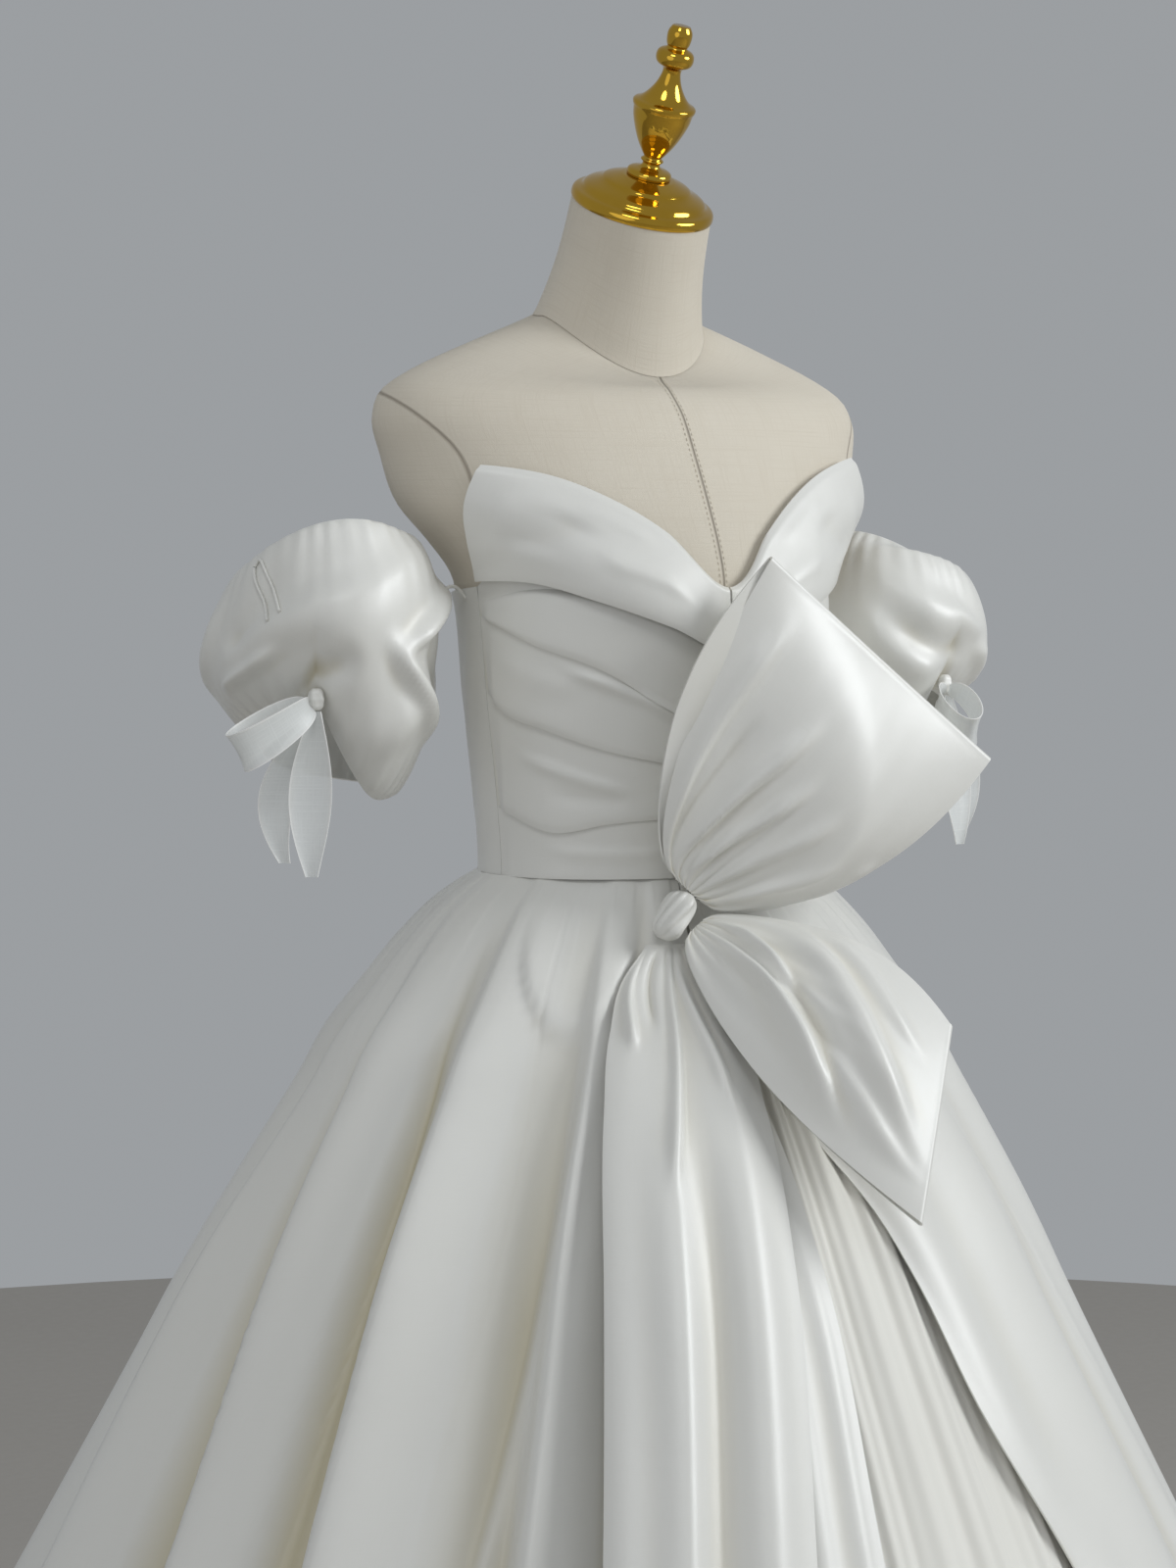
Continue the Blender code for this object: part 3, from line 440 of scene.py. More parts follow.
def clothShell(name, surface, thickness, finish, wrap=False, edgeShare=None, heart=(0.0, 0.0),
               passes=60, depth=0.006):
    # both faces of a cloth, with its rims closed, from the grid of points down its middle, with a share of
    # painted shade where the cloth lies deep
    surface = np.asarray(surface, dtype=float)
    normal = gridNormals(surface, wrap)
    columns, rows = surface.shape[:2]
    points = np.concatenate([(surface + normal * thickness / 2).reshape(-1, 3),
                             (surface - normal * thickness / 2).reshape(-1, 3)])
    acrossSteps, downSteps = clothArcs(surface, wrap)[1:]
    u = np.concatenate([[0.0], np.cumsum(acrossSteps.mean(axis=1))])
    v = np.concatenate([[0.0], np.cumsum(downSteps.mean(axis=0))])
    chart = np.stack(np.meshgrid(u, v, indexing="ij"), -1)
    steps = columns if wrap else columns - 1
    back = columns * rows
    i, j = (index.ravel() for index in np.meshgrid(np.arange(steps), np.arange(rows - 1), indexing="ij"))
    around = [(i, j), (i + 1, j), (i + 1, j + 1), (i, j + 1)]
    outer = np.stack([(a % columns) * rows + b for a, b in around], -1)
    outerChart = np.stack([chart[a, b] for a, b in around], 1)
    faces = [outer, outer[:, ::-1] + back]
    charts = [outerChart, outerChart[:, ::-1]]
    i = np.arange(steps)
    j = np.arange(rows - 1)
    rims = [((i, edge), (i + 1, edge), order) for edge, order in ((0, -1), (rows - 1, 1))]
    if not wrap:
        rims += [((edge, j), (edge, j + 1), order) for edge, order in ((0, 1), (columns - 1, -1))]
    for (a, b), (c, d), order in rims:
        near = (a % columns) * rows + b
        far = (c % columns) * rows + d
        faces.append(np.stack([near, far, back + far, back + near], -1)[:, ::order])
        charts.append(np.stack([chart[a, b], chart[c, d], chart[c, d], chart[a, b]], 1)[:, ::order])
    # painted shade: deeper places of the cloth get a larger share, which the satin turns darker
    shares = [("paintedShade", np.tile(paintedShadeShare(surface, normal, wrap, heart, passes, depth).ravel(), 2))]
    if edgeShare is not None:
        shares.append(("ribbonEdge", np.tile(np.asarray(edgeShare).ravel(), 2)))
    faces = np.concatenate(faces).tolist()
    return addPiece(name, points, faces, list(np.concatenate(charts)), finish, shares)


def finishPiece(piece, slotName, *nodes):
    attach(piece, "root")
    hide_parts(*nodes)
    return piece


def ringPiece(name, rings, finish):
    # a closed body through rings, with a fan at each end
    rings = np.asarray(rings, dtype=float)
    levels, count = rings.shape[:2]
    points = list(rings.reshape(-1, 3))
    girth = np.linalg.norm(np.roll(rings, -1, axis=1) - rings, axis=2).mean(axis=0)
    u = np.concatenate([[0.0], np.cumsum(girth)])
    v = np.concatenate([[0.0], np.cumsum(np.linalg.norm(np.diff(rings, axis=0), axis=2).mean(axis=1))])
    faces = []
    charts = []
    for level in range(levels - 1):
        low = level * count
        near, far = v[level], v[level + 1]
        for i in range(count):
            j = (i + 1) % count
            faces.append([low + i, low + j, low + count + j, low + count + i])
            charts.append([(u[i], near), (u[i + 1], near), (u[i + 1], far), (u[i], far)])
    for level, order in ((0, -1), (levels - 1, 1)):
        middle = len(points)
        points.append(rings[level].mean(axis=0))
        for i in range(count):
            pair = [level * count + i, level * count + (i + 1) % count][::order]
            faces.append([middle] + pair)
            charts.append([(u[i], v[level])] * 3)
    return addPiece(name, points, faces, charts, finish)


def placementTree():
    # one bead-like body at even steps along a path
    tree = bpy.data.node_groups.new("rowAlongPath", "GeometryNodeTree")
    tree.interface.new_socket("Geometry", in_out="INPUT", socket_type="NodeSocketGeometry")
    for word, kind in (("Spacing", "NodeSocketFloat"), ("Size", "NodeSocketVector"),
                       ("Follow Path", "NodeSocketBool"), ("Finish", "NodeSocketMaterial")):
        tree.interface.new_socket(word, in_out="INPUT", socket_type=kind)
    tree.interface.new_socket("Geometry", in_out="OUTPUT", socket_type="NodeSocketGeometry")
    given = tree.nodes.new("NodeGroupInput").outputs
    result = tree.nodes.new("NodeGroupOutput").inputs
    path = tree.nodes.new("GeometryNodeMeshToCurve")
    spots = addNode(tree, "GeometryNodeCurveToPoints", mode="LENGTH")
    body = tree.nodes.new("GeometryNodeMeshUVSphere")
    body.inputs["Segments"].default_value = 12
    body.inputs["Rings"].default_value = 8
    body.inputs["Radius"].default_value = 0.5
    turn = addNode(tree, "GeometryNodeSwitch", input_type="ROTATION")
    place = tree.nodes.new("GeometryNodeInstanceOnPoints")
    real = tree.nodes.new("GeometryNodeRealizeInstances")
    smooth = tree.nodes.new("GeometryNodeSetShadeSmooth")
    coat = tree.nodes.new("GeometryNodeSetMaterial")
    for source, target in (
            (given["Geometry"], path.inputs["Mesh"]),
            (path.outputs["Curve"], spots.inputs["Curve"]),
            (given["Spacing"], spots.inputs["Length"]),
            (given["Follow Path"], turn.inputs["Switch"]),
            (spots.outputs["Rotation"], turn.inputs["True"]),
            (spots.outputs["Points"], place.inputs["Points"]),
            (body.outputs["Mesh"], place.inputs["Instance"]),
            (turn.outputs["Output"], place.inputs["Rotation"]),
            (given["Size"], place.inputs["Scale"]),
            (place.outputs["Instances"], real.inputs["Geometry"]),
            (real.outputs["Geometry"], smooth.inputs["Geometry"]),
            (smooth.outputs["Geometry"], coat.inputs["Geometry"]),
            (given["Finish"], coat.inputs["Material"]),
            (coat.outputs["Geometry"], result["Geometry"])):
        tree.links.new(source, target)
    return tree


rowTree = placementTree()


def rowAlong(name, paths, spacing, size, followPath, finish):
    points = []
    edges = []
    for path in paths:
        start = len(points)
        points += [tuple(map(float, point)) for point in path]
        edges += [(start + k, start + k + 1) for k in range(len(path) - 1)]
    mesh = bpy.data.meshes.new(name + "Path")
    mesh.from_pydata(points, edges, [])
    guide = bpy.data.objects.new(name + "Path", mesh)
    scene.collection.objects.link(guide)
    modifier = guide.modifiers.new("row", "NODES")
    modifier.node_group = rowTree
    identifiers = {item.name: item.identifier for item in rowTree.interface.items_tree
                   if item.in_out == "INPUT"}
    chosen = {"Spacing": spacing, "Size": size, "Follow Path": followPath, "Finish": finish}
    for word, value in chosen.items():
        modifier[identifiers[word]] = value
    bpy.context.view_layer.update()
    made = bpy.data.meshes.new_from_object(guide.evaluated_get(bpy.context.evaluated_depsgraph_get()))
    bpy.data.objects.remove(guide, do_unlink=True)
    made.name = name
    piece = bpy.data.objects.new(name, made)
    scene.collection.objects.link(piece)
    return piece


# Dress form
torsoTable = columnsOf(
    "height halfWidth front back centre frontDip backRise",
    (0.800, 0.146, 0.103, 0.112, 0.000, 0, 0),
    (0.880, 0.156, 0.108, 0.120, 0.000, 0, 0),
    (0.960, 0.142, 0.100, 0.106, 0.000, 0, 0),
    (1.040, 0.120, 0.090, 0.082, 0.000, 0, 0),
    (1.100, 0.123, 0.096, 0.084, 0.000, 0, 0),
    (1.170, 0.131, 0.110, 0.088, 0.000, 0, 0),
    (1.240, 0.138, 0.123, 0.092, 0.000, 0, 0),
    (1.262, 0.142, 0.121, 0.094, 0.004, 0, 0),
    (1.285, 0.158, 0.113, 0.096, 0.011, 0, 0),
    (1.310, 0.179, 0.101, 0.098, 0.018, 0, 0),
    (1.345, 0.191, 0.082, 0.097, 0.024, 0, 0),
    (1.375, 0.196, 0.064, 0.091, 0.028, 0.000, 0.000),
    (1.393, 0.187, 0.052, 0.084, 0.030, 0.006, 0.002),
    (1.407, 0.164, 0.045, 0.080, 0.030, 0.014, 0.004),
    (1.422, 0.130, 0.040, 0.078, 0.030, 0.026, 0.006),
    (1.436, 0.094, 0.036, 0.079, 0.029, 0.037, 0.008),
    (1.447, 0.063, 0.033, 0.082, 0.028, 0.045, 0.010),
)
formValues = {
    "levels": 110, "sides": 144, "neckLean": 25.0, "neckTop": (0.0, -0.007, 1.524), "capRadius": 0.0515,
    "neckLevels": 26, "neckInset": 0.0005, "neckWaist": 0.05, "neckFlare": 0.010, "neckFlareShare": 0.03,
    "capSides": 96, "finialSides": 64, "seamLow": 1.24, "seamPoints": 40, "seamStand": 0.0004,
    "stitchOffset": 0.0026, "stitchSpacing": 0.0042, "stitchSize": (0.0006, 0.0006, 0.0026),
}


def torsoRing(height, count):
    size = {name: read(torsoTable, name, height) for name in torsoTable}
    turn = np.arange(count) * 2.0 * math.pi / count
    ahead = np.cos(turn)
    reach = np.where(ahead > 0, size["front"] + size["centre"], size["back"] - size["centre"])
    x = size["halfWidth"] * np.sin(turn)
    y = size["centre"] - reach * ahead
    dip = np.clip(ahead, 0, 1) ** 1.6 * size["frontDip"]
    rise = np.clip(-ahead, 0, 1) ** 1.6 * size["backRise"]
    return np.stack([x, y, size["height"] - dip + rise], axis=1)


def torsoRadius(azimuth, height):
    turn = np.radians(azimuth)
    aside = np.sin(turn)
    ahead = -np.cos(turn)
    halfWidth = read(torsoTable, "halfWidth", height)
    centre = read(torsoTable, "centre", height)
    reachFront = read(torsoTable, "front", height) + centre
    reachBack = read(torsoTable, "back", height) - centre

    def crossing(reach):
        a = (aside / halfWidth) ** 2 + (ahead / reach) ** 2
        b = -2.0 * ahead * centre / reach ** 2
        c = (centre / reach) ** 2 - 1.0
        return (-b + np.sqrt(b * b - 4.0 * a * c)) / (2.0 * a)

    radius = crossing(reachFront)
    return np.where(radius * ahead > centre, crossing(reachBack), radius)


def onBodice(azimuth, height, lift):
    return onAzimuth(azimuth, torsoRadius(azimuth, height) + lift, height)


capProfile = columnsOf(
    "radius height",
    (0.0515, 0.0000), (0.0525, 0.0020), (0.0515, 0.0070), (0.0455, 0.0085), (0.0440, 0.0125),
    (0.0330, 0.0170), (0.0315, 0.0195), (0.0190, 0.0235),
)
finialProfile = columnsOf(
    "radius height",
    (0.0160, 0.0238), (0.0165, 0.0262), (0.0150, 0.0288), (0.0070, 0.0305), (0.0060, 0.0340),
    (0.0090, 0.0358), (0.0060, 0.0378), (0.0080, 0.0400), (0.0145, 0.0500), (0.0205, 0.0650),
    (0.0215, 0.0730), (0.0228, 0.0750), (0.0228, 0.0780), (0.0170, 0.0800), (0.0095, 0.0900),
    (0.0062, 0.1000), (0.0070, 0.1040), (0.0125, 0.1060), (0.0140, 0.1110), (0.0125, 0.1160),
    (0.0065, 0.1180), (0.0085, 0.1210), (0.0092, 0.1290), (0.0065, 0.1335),
)


def roundedProfile(profile, passes):
    # corners cut again and again, so that the turned edges catch the light
    points = np.stack([profile["radius"], profile["height"]], -1)
    for _ in range(passes):
        nearer = points[:-1] * 0.75 + points[1:] * 0.25
        further = points[:-1] * 0.25 + points[1:] * 0.75
        inner = np.stack([nearer, further], 1).reshape(-1, 2)
        points = np.concatenate([points[:1], inner, points[-1:]])
    return points


def leaningRing(sides, lean):
    # a circle of radius 1 whose axis leans forward, and that axis
    turn = np.arange(sides) * 2.0 * math.pi / sides
    ring = np.stack([np.sin(turn), -np.cos(turn) * math.cos(lean), -np.cos(turn) * math.sin(lean)], 1)
    return ring, np.array([0.0, -math.sin(lean), math.cos(lean)])


def turnedPiece(name, profile, origin, lean, sides, finish):
    ring, axis = leaningRing(sides, lean)
    rings = [origin + axis * height + ring * radius for radius, height in roundedProfile(profile, 2)]
    return ringPiece(name, rings, finish)


def makeNeck(values, top):
    lean = math.radians(values["neckLean"])
    ring, axis = leaningRing(values["sides"], lean)
    base = torsoRing(top, values["sides"]) + np.array([0, 0, garment["seamGap"]])
    end = np.array(values["neckTop"]) + ring * (values["capRadius"] - values["neckInset"])
    rings = []
    for step in np.linspace(0.0, 1.0, values["neckLevels"]):
        waist = 1.0 - values["neckWaist"] * math.sin(math.pi * step)
        waist = waist + values["neckFlare"] * math.exp(-step / values["neckFlareShare"])
        level = base + (end - base) * step
        middle = level.mean(axis=0)
        rings.append(middle + (level - middle) * waist)
    finishPiece(ringPiece("formNeck", rings, neckLinen), "linen", "form_neck")
    capBase = np.array(values["neckTop"]) + axis * garment["seamGap"]
    cap = turnedPiece("neckCap", capProfile, capBase, lean, values["capSides"], gold)
    finishPiece(cap, "gold", "neck_cap")
    finial = turnedPiece("neckFinial", finialProfile, capBase, lean, values["finialSides"], gold)
    finishPiece(finial, "gold", "neck_finial")


def makeStitches(values, top):
    heights = np.linspace(values["seamLow"], top, values["seamPoints"])
    seam = np.array([torsoRing(height, 4)[0] for height in heights])
    seam[:, 1] -= values["seamStand"]
    rows = [seam + np.array([side * values["stitchOffset"], 0, 0]) for side in (-1, 1)]
    stitches = rowAlong("formStitches", rows, values["stitchSpacing"], values["stitchSize"], True, neckLinen)
    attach(stitches, "root")


def makeForm(values):
    print("dress form")
    top = torsoTable["height"][-1]
    heights = np.linspace(torsoTable["height"][0], top, values["levels"])
    torso = ringPiece("formTorso", [torsoRing(height, values["sides"]) for height in heights], linen)
    finishPiece(torso, "linen", "form_torso")
    makeNeck(values, top)
    makeStitches(values, top)
    for node in ("form_pole", "form_base"):
        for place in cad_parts[node].material_slots:
            place.material = steel


makeForm(formValues)

# Bodice
bodiceEdgeTable = columnsOf(
    "azimuth top bandTop cuffTop cuffLow fold1 fold2 fold3",
    (-84, 1.250, 1.240, 1.336, 1.256, 1.234, 1.186, 1.100),
    (-75, 1.264, 1.246, 1.337, 1.257, 1.228, 1.168, 1.094),
    (-60, 1.284, 1.252, 1.332, 1.256, 1.214, 1.156, 1.083),
    (-40, 1.280, 1.246, 1.315, 1.243, 1.197, 1.141, 1.089),
    (-20, 1.256, 1.230, 1.290, 1.226, 1.170, 1.132, 1.092),
    (0, 1.236, 1.212, 1.252, 1.206, 1.150, 1.124, 1.090),
    (20, 1.256, 1.230, 1.290, 1.226, 1.170, 1.132, 1.092),
    (40, 1.280, 1.246, 1.318, 1.243, 1.197, 1.141, 1.089),
    (60, 1.284, 1.250, 1.338, 1.253, 1.214, 1.156, 1.083),
    (75, 1.264, 1.243, 1.347, 1.250, 1.228, 1.168, 1.094),
    (84, 1.250, 1.240, 1.348, 1.249, 1.234, 1.186, 1.100),
)
# Creases over the draped front: places in azimuth, heights, width and rise in metres
drapeCreases = creaseTable(
    (-56, 1.200, -4, 1.150, 0.003, 0.0050, 0.0036, 0.5),
    (-72, 1.138, -28, 1.108, -0.002, 0.0055, 0.0026, 0.6),
    (-62, 1.110, -30, 1.103, -0.002, 0.0060, -0.0014, 1.0),
    (-78, 1.206, -44, 1.180, -0.003, 0.0100, 0.0014, 0.8),
    (-66, 1.070, -12, 1.068, -0.003, 0.0060, 0.0015, 0.7),
    (4, 1.164, 52, 1.210, -0.003, 0.0050, 0.0034, 0.5),
    (28, 1.108, 72, 1.140, 0.002, 0.0055, 0.0026, 0.6),
    (14, 1.070, 66, 1.076, 0.003, 0.0060, 0.0015, 0.8),
    (42, 1.184, 78, 1.206, 0.002, 0.0100, 0.0014, 0.8),
)
bodiceValues = {
    "columns": 250, "bandRows": (26, 28, 26, 20, 10), "reach": 81.9, "wall": 0.0013, "standOff": 0.0036,
    "foldReach": 81.4, "fadeAngle": 4.5, "easeAngle": 26.0, "metresPerDegree": 0.00225,
    "foldDepth": (0.0012, 0.0036, 0.0042, 0.0034, 0.0), "lap": 0.0012, "topFill": 0.995,
    # the last two spread the painted shade in the folds and set how deep it takes
    "bandSoftness": 0.004, "paintedShadePasses": 40, "paintedShadeDepth": 0.003,
}
backValues = {
    "columns": 110, "rows": 44, "wall": 0.0013, "sideGap": 0.17, "middle": 179.93,
    "top": 1.2535, "topDip": 0.016,
    "boneAzimuths": (108.0, 134.0, 157.0), "boneWidth": 0.9, "boneDepth": 0.0004,
    "ripple": 0.0008, "rippleFrom": 84.0, "placketFrom": 171.0, "placketStand": 0.0008,
    "topRoll": 0.0007, "topRollHeight": 0.004,
    "buttons": 7, "buttonLow": 0.022, "buttonPitch": 0.024, "buttonAzimuth": 176.0, "buttonStand": 0.0022,
    "buttonSize": (0.0110, 0.0064, 0.0110),
}


def makeBodiceFront(values):
    # each band's lower edge laps over the band below it
    print("bodice front")
    azimuth = np.linspace(-values["reach"], values["reach"], values["columns"])[:, None]
    inside = values["foldReach"] - np.abs(azimuth)
    fade = smoothStep(inside / values["fadeAngle"])
    low = garment["waistHeight"] + garment["seamGap"]
    edges = [np.full_like(azimuth, low)]
    columns = ("fold3", "fold2", "fold1", "bandTop", "top")
    edges += [read(bodiceEdgeTable, column, azimuth) for column in columns]
    heights = []
    lifts = []
    for band, (below, above) in enumerate(zip(edges[:-1], edges[1:])):
        rise = np.linspace(0.0, 1.0, values["bandRows"][band])[None, :]
        lap = values["lap"] * fade if band else 0.0
        heights.append(below - lap * (1.0 - rise) ** 6 + (above - below) * rise * values["topFill"])
        tooth = (1.0 - rise) ** 1.3 * (1.0 - 0.35 * np.exp(-rise / 0.05))
        lifts.append(np.repeat(values["foldDepth"][band] * tooth, values["columns"], axis=0))
    height = np.concatenate(heights, axis=1)
    wander = 1.0 + 0.25 * np.sin(azimuth * 0.09 + 0.6)
    metres = values["metresPerDegree"]
    folds = np.concatenate(lifts, axis=1) * wander
    folds = folds + creases(azimuth * metres, height, stretched(drapeCreases, metres))
    banded = smoothStep((edges[4] - height) / values["bandSoftness"])
    stand = values["standOff"] * banded * smoothStep(inside / values["easeAngle"])
    lift = garment["skinGap"] + values["wall"] / 2 + stand + folds * fade
    surface = onBodice(azimuth, height, lift)
    piece = clothShell("bodiceDrape", surface, values["wall"], satin,
                       passes=values["paintedShadePasses"], depth=values["paintedShadeDepth"])
    finishPiece(piece, "satin", "bodice_front", *[f"bodice_band_{i}" for i in range(1, 5)])


def makeBodiceBack(values):
    print("bodice back")
    low = garment["waistHeight"] + garment["seamGap"]
    for word, side in (("Right", -1), ("Left", 1)):
        first = bodiceValues["reach"] + values["sideGap"]
        away = np.linspace(first, values["middle"], values["columns"])[:, None]
        top = values["top"] - values["topDip"] * np.sin(np.radians(away - 80.0) * 0.9)
        height = low + (top - low) * np.linspace(0.0, 1.0, values["rows"])[None, :]
        bones = sum(np.exp(-((away - place) / values["boneWidth"]) ** 2) for place in values["boneAzimuths"])
        ripple = values["ripple"] * np.sin(away * 0.22 + height * 40.0)
        ripple = ripple * smoothStep((away - values["rippleFrom"]) / 10.0)
        placket = values["placketStand"] * smoothStep((away - values["placketFrom"]) / 1.2)
        lift = garment["skinGap"] + values["wall"] / 2 - values["boneDepth"] * bones
        lift = lift + np.abs(ripple) + placket
        lift = lift + values["topRoll"] * np.exp(-(top - height) / values["topRollHeight"])
        surface = onBodice(side * away, height, lift)
        piece = clothShell("bodiceBack" + word, surface, values["wall"], satin)
        finishPiece(piece, "satin", "bodice_back_" + word.lower())


def makeButtons(values):
    heights = garment["waistHeight"] + values["buttonLow"]
    heights = heights + values["buttonPitch"] * np.arange(values["buttons"])
    stand = garment["skinGap"] + values["wall"] + values["buttonStand"]
    path = [onBodice(values["buttonAzimuth"], height, stand) for height in heights]
    # a hair over the pitch, so that the curved path ends on the last button
    spacing = values["buttonPitch"] + 0.00001
    buttons = rowAlong("backButtons", [path], spacing, values["buttonSize"], False, satin)
    finishPiece(buttons, "satin", *[f"back_button_{i}" for i in range(1, values["buttons"] + 1)])


cuffValues = {
    "columns": 96, "rows": 44, "turnRows": 9, "wall": 0.00154, "middleGap": 0.35, "topReach": 71.0,
    "lowReach": 79.0, "turnIn": 0.016, "stand": 0.0065, "sideStand": 0.0060, "rollRadius": 0.0021,
    "flare": 0.0100, "flareShare": 0.55, "swell": 0.0042, "hem": 0.0008, "hemShare": 0.03,
}
# Soft dents and swells of the cuffs: share along, share down, width and rise
cuffCreases = creaseTable(
    (0.62, 0.25, 0.82, 0.75, 0.02, 0.10, -0.0026, 1.0),
    (0.15, 0.55, 0.55, 0.62, -0.03, 0.12, 0.0018, 0.8),
    (0.88, 0.15, 0.95, 0.90, 0.03, 0.05, 0.0012, 1.0),
    (0.30, 0.18, 0.70, 0.14, 0.02, 0.08, 0.0012, 1.0),
)


def makeCuff(word, side, values):
    # the band turns over at its top edge and runs a little way down inside
    step = np.linspace(0.0, 1.0, values["columns"])[:, None]
    turned = np.linspace(-1.0, 0.0, values["turnRows"])[:-1]
    down = np.concatenate([turned, np.linspace(0.0, 1.0, values["rows"]) ** 1.1])
    outer = np.clip(down, 0.0, 1.0)[None, :]
    inner = np.clip(-down, 0.0, 1.0)[None, :]
    gap = values["middleGap"]
    reach = values["topReach"] + (values["lowReach"] - values["topReach"]) * outer
    azimuth = side * (gap + (reach - gap) * step)
    topEdge = read(bodiceEdgeTable, "cuffTop", side * (gap + (values["topReach"] - gap) * step))
    lowEdge = read(bodiceEdgeTable, "cuffLow", side * (gap + (values["lowReach"] - gap) * step))
    height = topEdge + (lowEdge - topEdge) * outer - values["turnIn"] * inner ** 1.6
    stand = values["stand"] + values["sideStand"] * step ** 2 * (1.0 - 0.75 * outer)
    ends = np.sin(math.pi * np.clip(step * 1.1, 0, 1)) ** 0.7
    swell = values["swell"] * ends * np.sin(math.pi * outer ** 1.7)
    detail = creases(step, outer, cuffCreases) * np.sin(math.pi * outer) ** 0.5
    roll = values["rollRadius"] * (smoothStep(outer / 0.05) - smoothStep(inner / 0.25))
    hem = values["hem"] * np.exp(-(1.0 - outer) / values["hemShare"])
    flare = values["flare"] * outer ** 1.5 * np.exp(-(step / values["flareShare"]) ** 2)
    flare = flare * smoothStep(step / 0.08)
    surface = onBodice(azimuth, height, stand + swell + detail + roll + flare - hem)
    piece = clothShell("cuff" + word, surface, values["wall"], satin)
    finishPiece(piece, "satin", "cuff_" + word.lower())


makeBodiceFront(bodiceValues)
makeBodiceBack(backValues)
makeButtons(backValues)
makeCuff("Right", -1, cuffValues)
makeCuff("Left", 1, cuffValues)

# Skirts
flareTable = columnsOf(
    "drop side front",
    (0.000, 0.002, 0.002), (0.018, 0.030, 0.013), (0.040, 0.054, 0.029), (0.077, 0.085, 0.057),
    (0.112, 0.112, 0.083), (0.143, 0.128, 0.104), (0.181, 0.150, 0.130), (0.236, 0.182, 0.166),
    (0.363, 0.248, 0.238), (0.475, 0.307, 0.296), (1.040, 0.610, 0.590),
)
pleatTable = columnsOf(
    "waist hem halfWidth rise lean",
    (-161, -166, 7.5, 0.90, 0.10), (-143, -146, 6.0, 1.00, 0.25), (-127, -131, 6.5, 0.85, 0.15),
    (-110, -115, 5.5, 1.00, 0.40), (-93, -99, 6.0, 0.95, 0.55), (-86, -68, 5.5, 1.00, 0.58),
    (-65, -58, 5.8, 0.95, 0.60), (-38, -42, 5.0, 0.80, 0.45), (-20, -24, 6.0, 1.00, 0.10),
    (14, 27, 8.0, 1.00, 0.00), (38, 47, 10.0, 0.90, -0.20), (60, 66, 8.0, 1.00, -0.30),
    (78, 83, 6.5, 0.90, -0.25), (94, 99, 6.0, 1.00, -0.30), (110, 114, 5.5, 0.90, -0.20),
    (126, 131, 6.5, 1.00, -0.30), (144, 147, 6.0, 0.85, -0.15), (162, 165, 6.5, 1.00, -0.25),
    (180, 181, 6.0, 0.95, 0.10),
)
openingTable = columnsOf(
    "height rightEdge leftEdge",
    (0.000, -22.0, 40.0), (0.300, -20.0, 32.0), (0.600, -17.5, 24.0), (0.700, -16.0, 18.5),
    (0.780, -14.0, 16.0), (0.836, -13.0, 12.5), (0.900, -12.0, 3.0), (0.960, -12.0, -7.5),
    (1.050, -12.0, -11.8),
)
# Folds between the pleats: azimuth and height of both ends, width and rise in metres
skirtCreases = creaseTable(
    (-67, 1.020, -59, 0.250, 0.004, 0.009, 0.0120, 3.2),
    (-61, 0.620, -57, -0.300, 0.000, 0.010, 0.0150, 3.0),
    (-84, 1.036, -76, 0.400, 0.000, 0.009, 0.0100, 2.6),
    (-76, 0.700, -73, -0.300, 0.000, 0.010, 0.0140, 2.6),
    (-71, 1.030, -66, 0.300, 0.000, 0.009, -0.0130, 0.9),
    (-67, 0.560, -65, -0.200, 0.000, 0.011, -0.0120, 0.9),
    (-99, 0.980, -93, 0.300, 0.002, 0.008, 0.0120, 2.6),
    (-38, 0.990, -50, 0.450, 0.000, 0.005, 0.0100, 2.4),
    (-40, 0.880, -46, 0.100, 0.000, 0.006, 0.0100, 2.4),
    (-50, 0.930, -50, 0.100, 0.000, 0.022, 0.0080, 1.0),
    (-84, 0.560, -82, -0.100, 0.004, 0.010, 0.0120, 2.4),
    (-105, 0.880, -103, 0.200, 0.003, 0.009, 0.0100, 2.2),
    (30, 0.700, 36, 0.100, -0.004, 0.022, 0.0045, 0.8),
    (52, 0.860, 60, 0.250, 0.005, 0.018, 0.0050, 0.7),
    (72, 0.980, 75, 0.500, 0.003, 0.012, 0.0055, 0.6),
    (88, 0.900, 92, 0.350, -0.003, 0.014, 0.0060, 0.6),
    (104, 0.950, 106, 0.300, 0.004, 0.013, 0.0060, 0.5),
    (120, 0.820, 123, 0.200, -0.004, 0.015, 0.0055, 0.6),
    (136, 0.960, 139, 0.450, 0.003, 0.013, 0.0060, 0.5),
    (153, 0.880, 156, 0.150, 0.005, 0.016, 0.0055, 0.6),
    (172, 0.940, 172, 0.400, -0.003, 0.013, 0.0060, 0.5),
    (-171, 0.860, -174, 0.200, 0.004, 0.015, 0.0055, 0.6),
    (-152, 0.960, -156, 0.420, -0.004, 0.013, 0.0060, 0.5),
    (-135, 0.840, -139, 0.150, 0.004, 0.016, 0.0055, 0.6),
    (-118, 0.950, -123, 0.380, -0.003, 0.013, 0.0060, 0.5),
    (-104, 0.700, -107, 0.100, 0.003, 0.015, 0.0055, 0.6),
)
skirtValues = {
    "columns": 622, "rows": 80, "wall": 0.0014, "metresPerDegree": 0.0052,
    "waistPleats": 62, "waistPleatDepth": 0.0030, "waistPleatDrop": 0.050,
    "flatAzimuth": -50.0, "flatReach": 32.0, "flatShare": 0.75,
    "gores": 9, "seamDepth": 0.0004, "seamShare": 0.0011, "edgeReach": 3.0, "edgeDip": 0.0055,
    # the last two spread the painted shade in the folds and set how deep it takes
    "paintedShadePasses": 313, "paintedShadeDepth": 0.011,
}
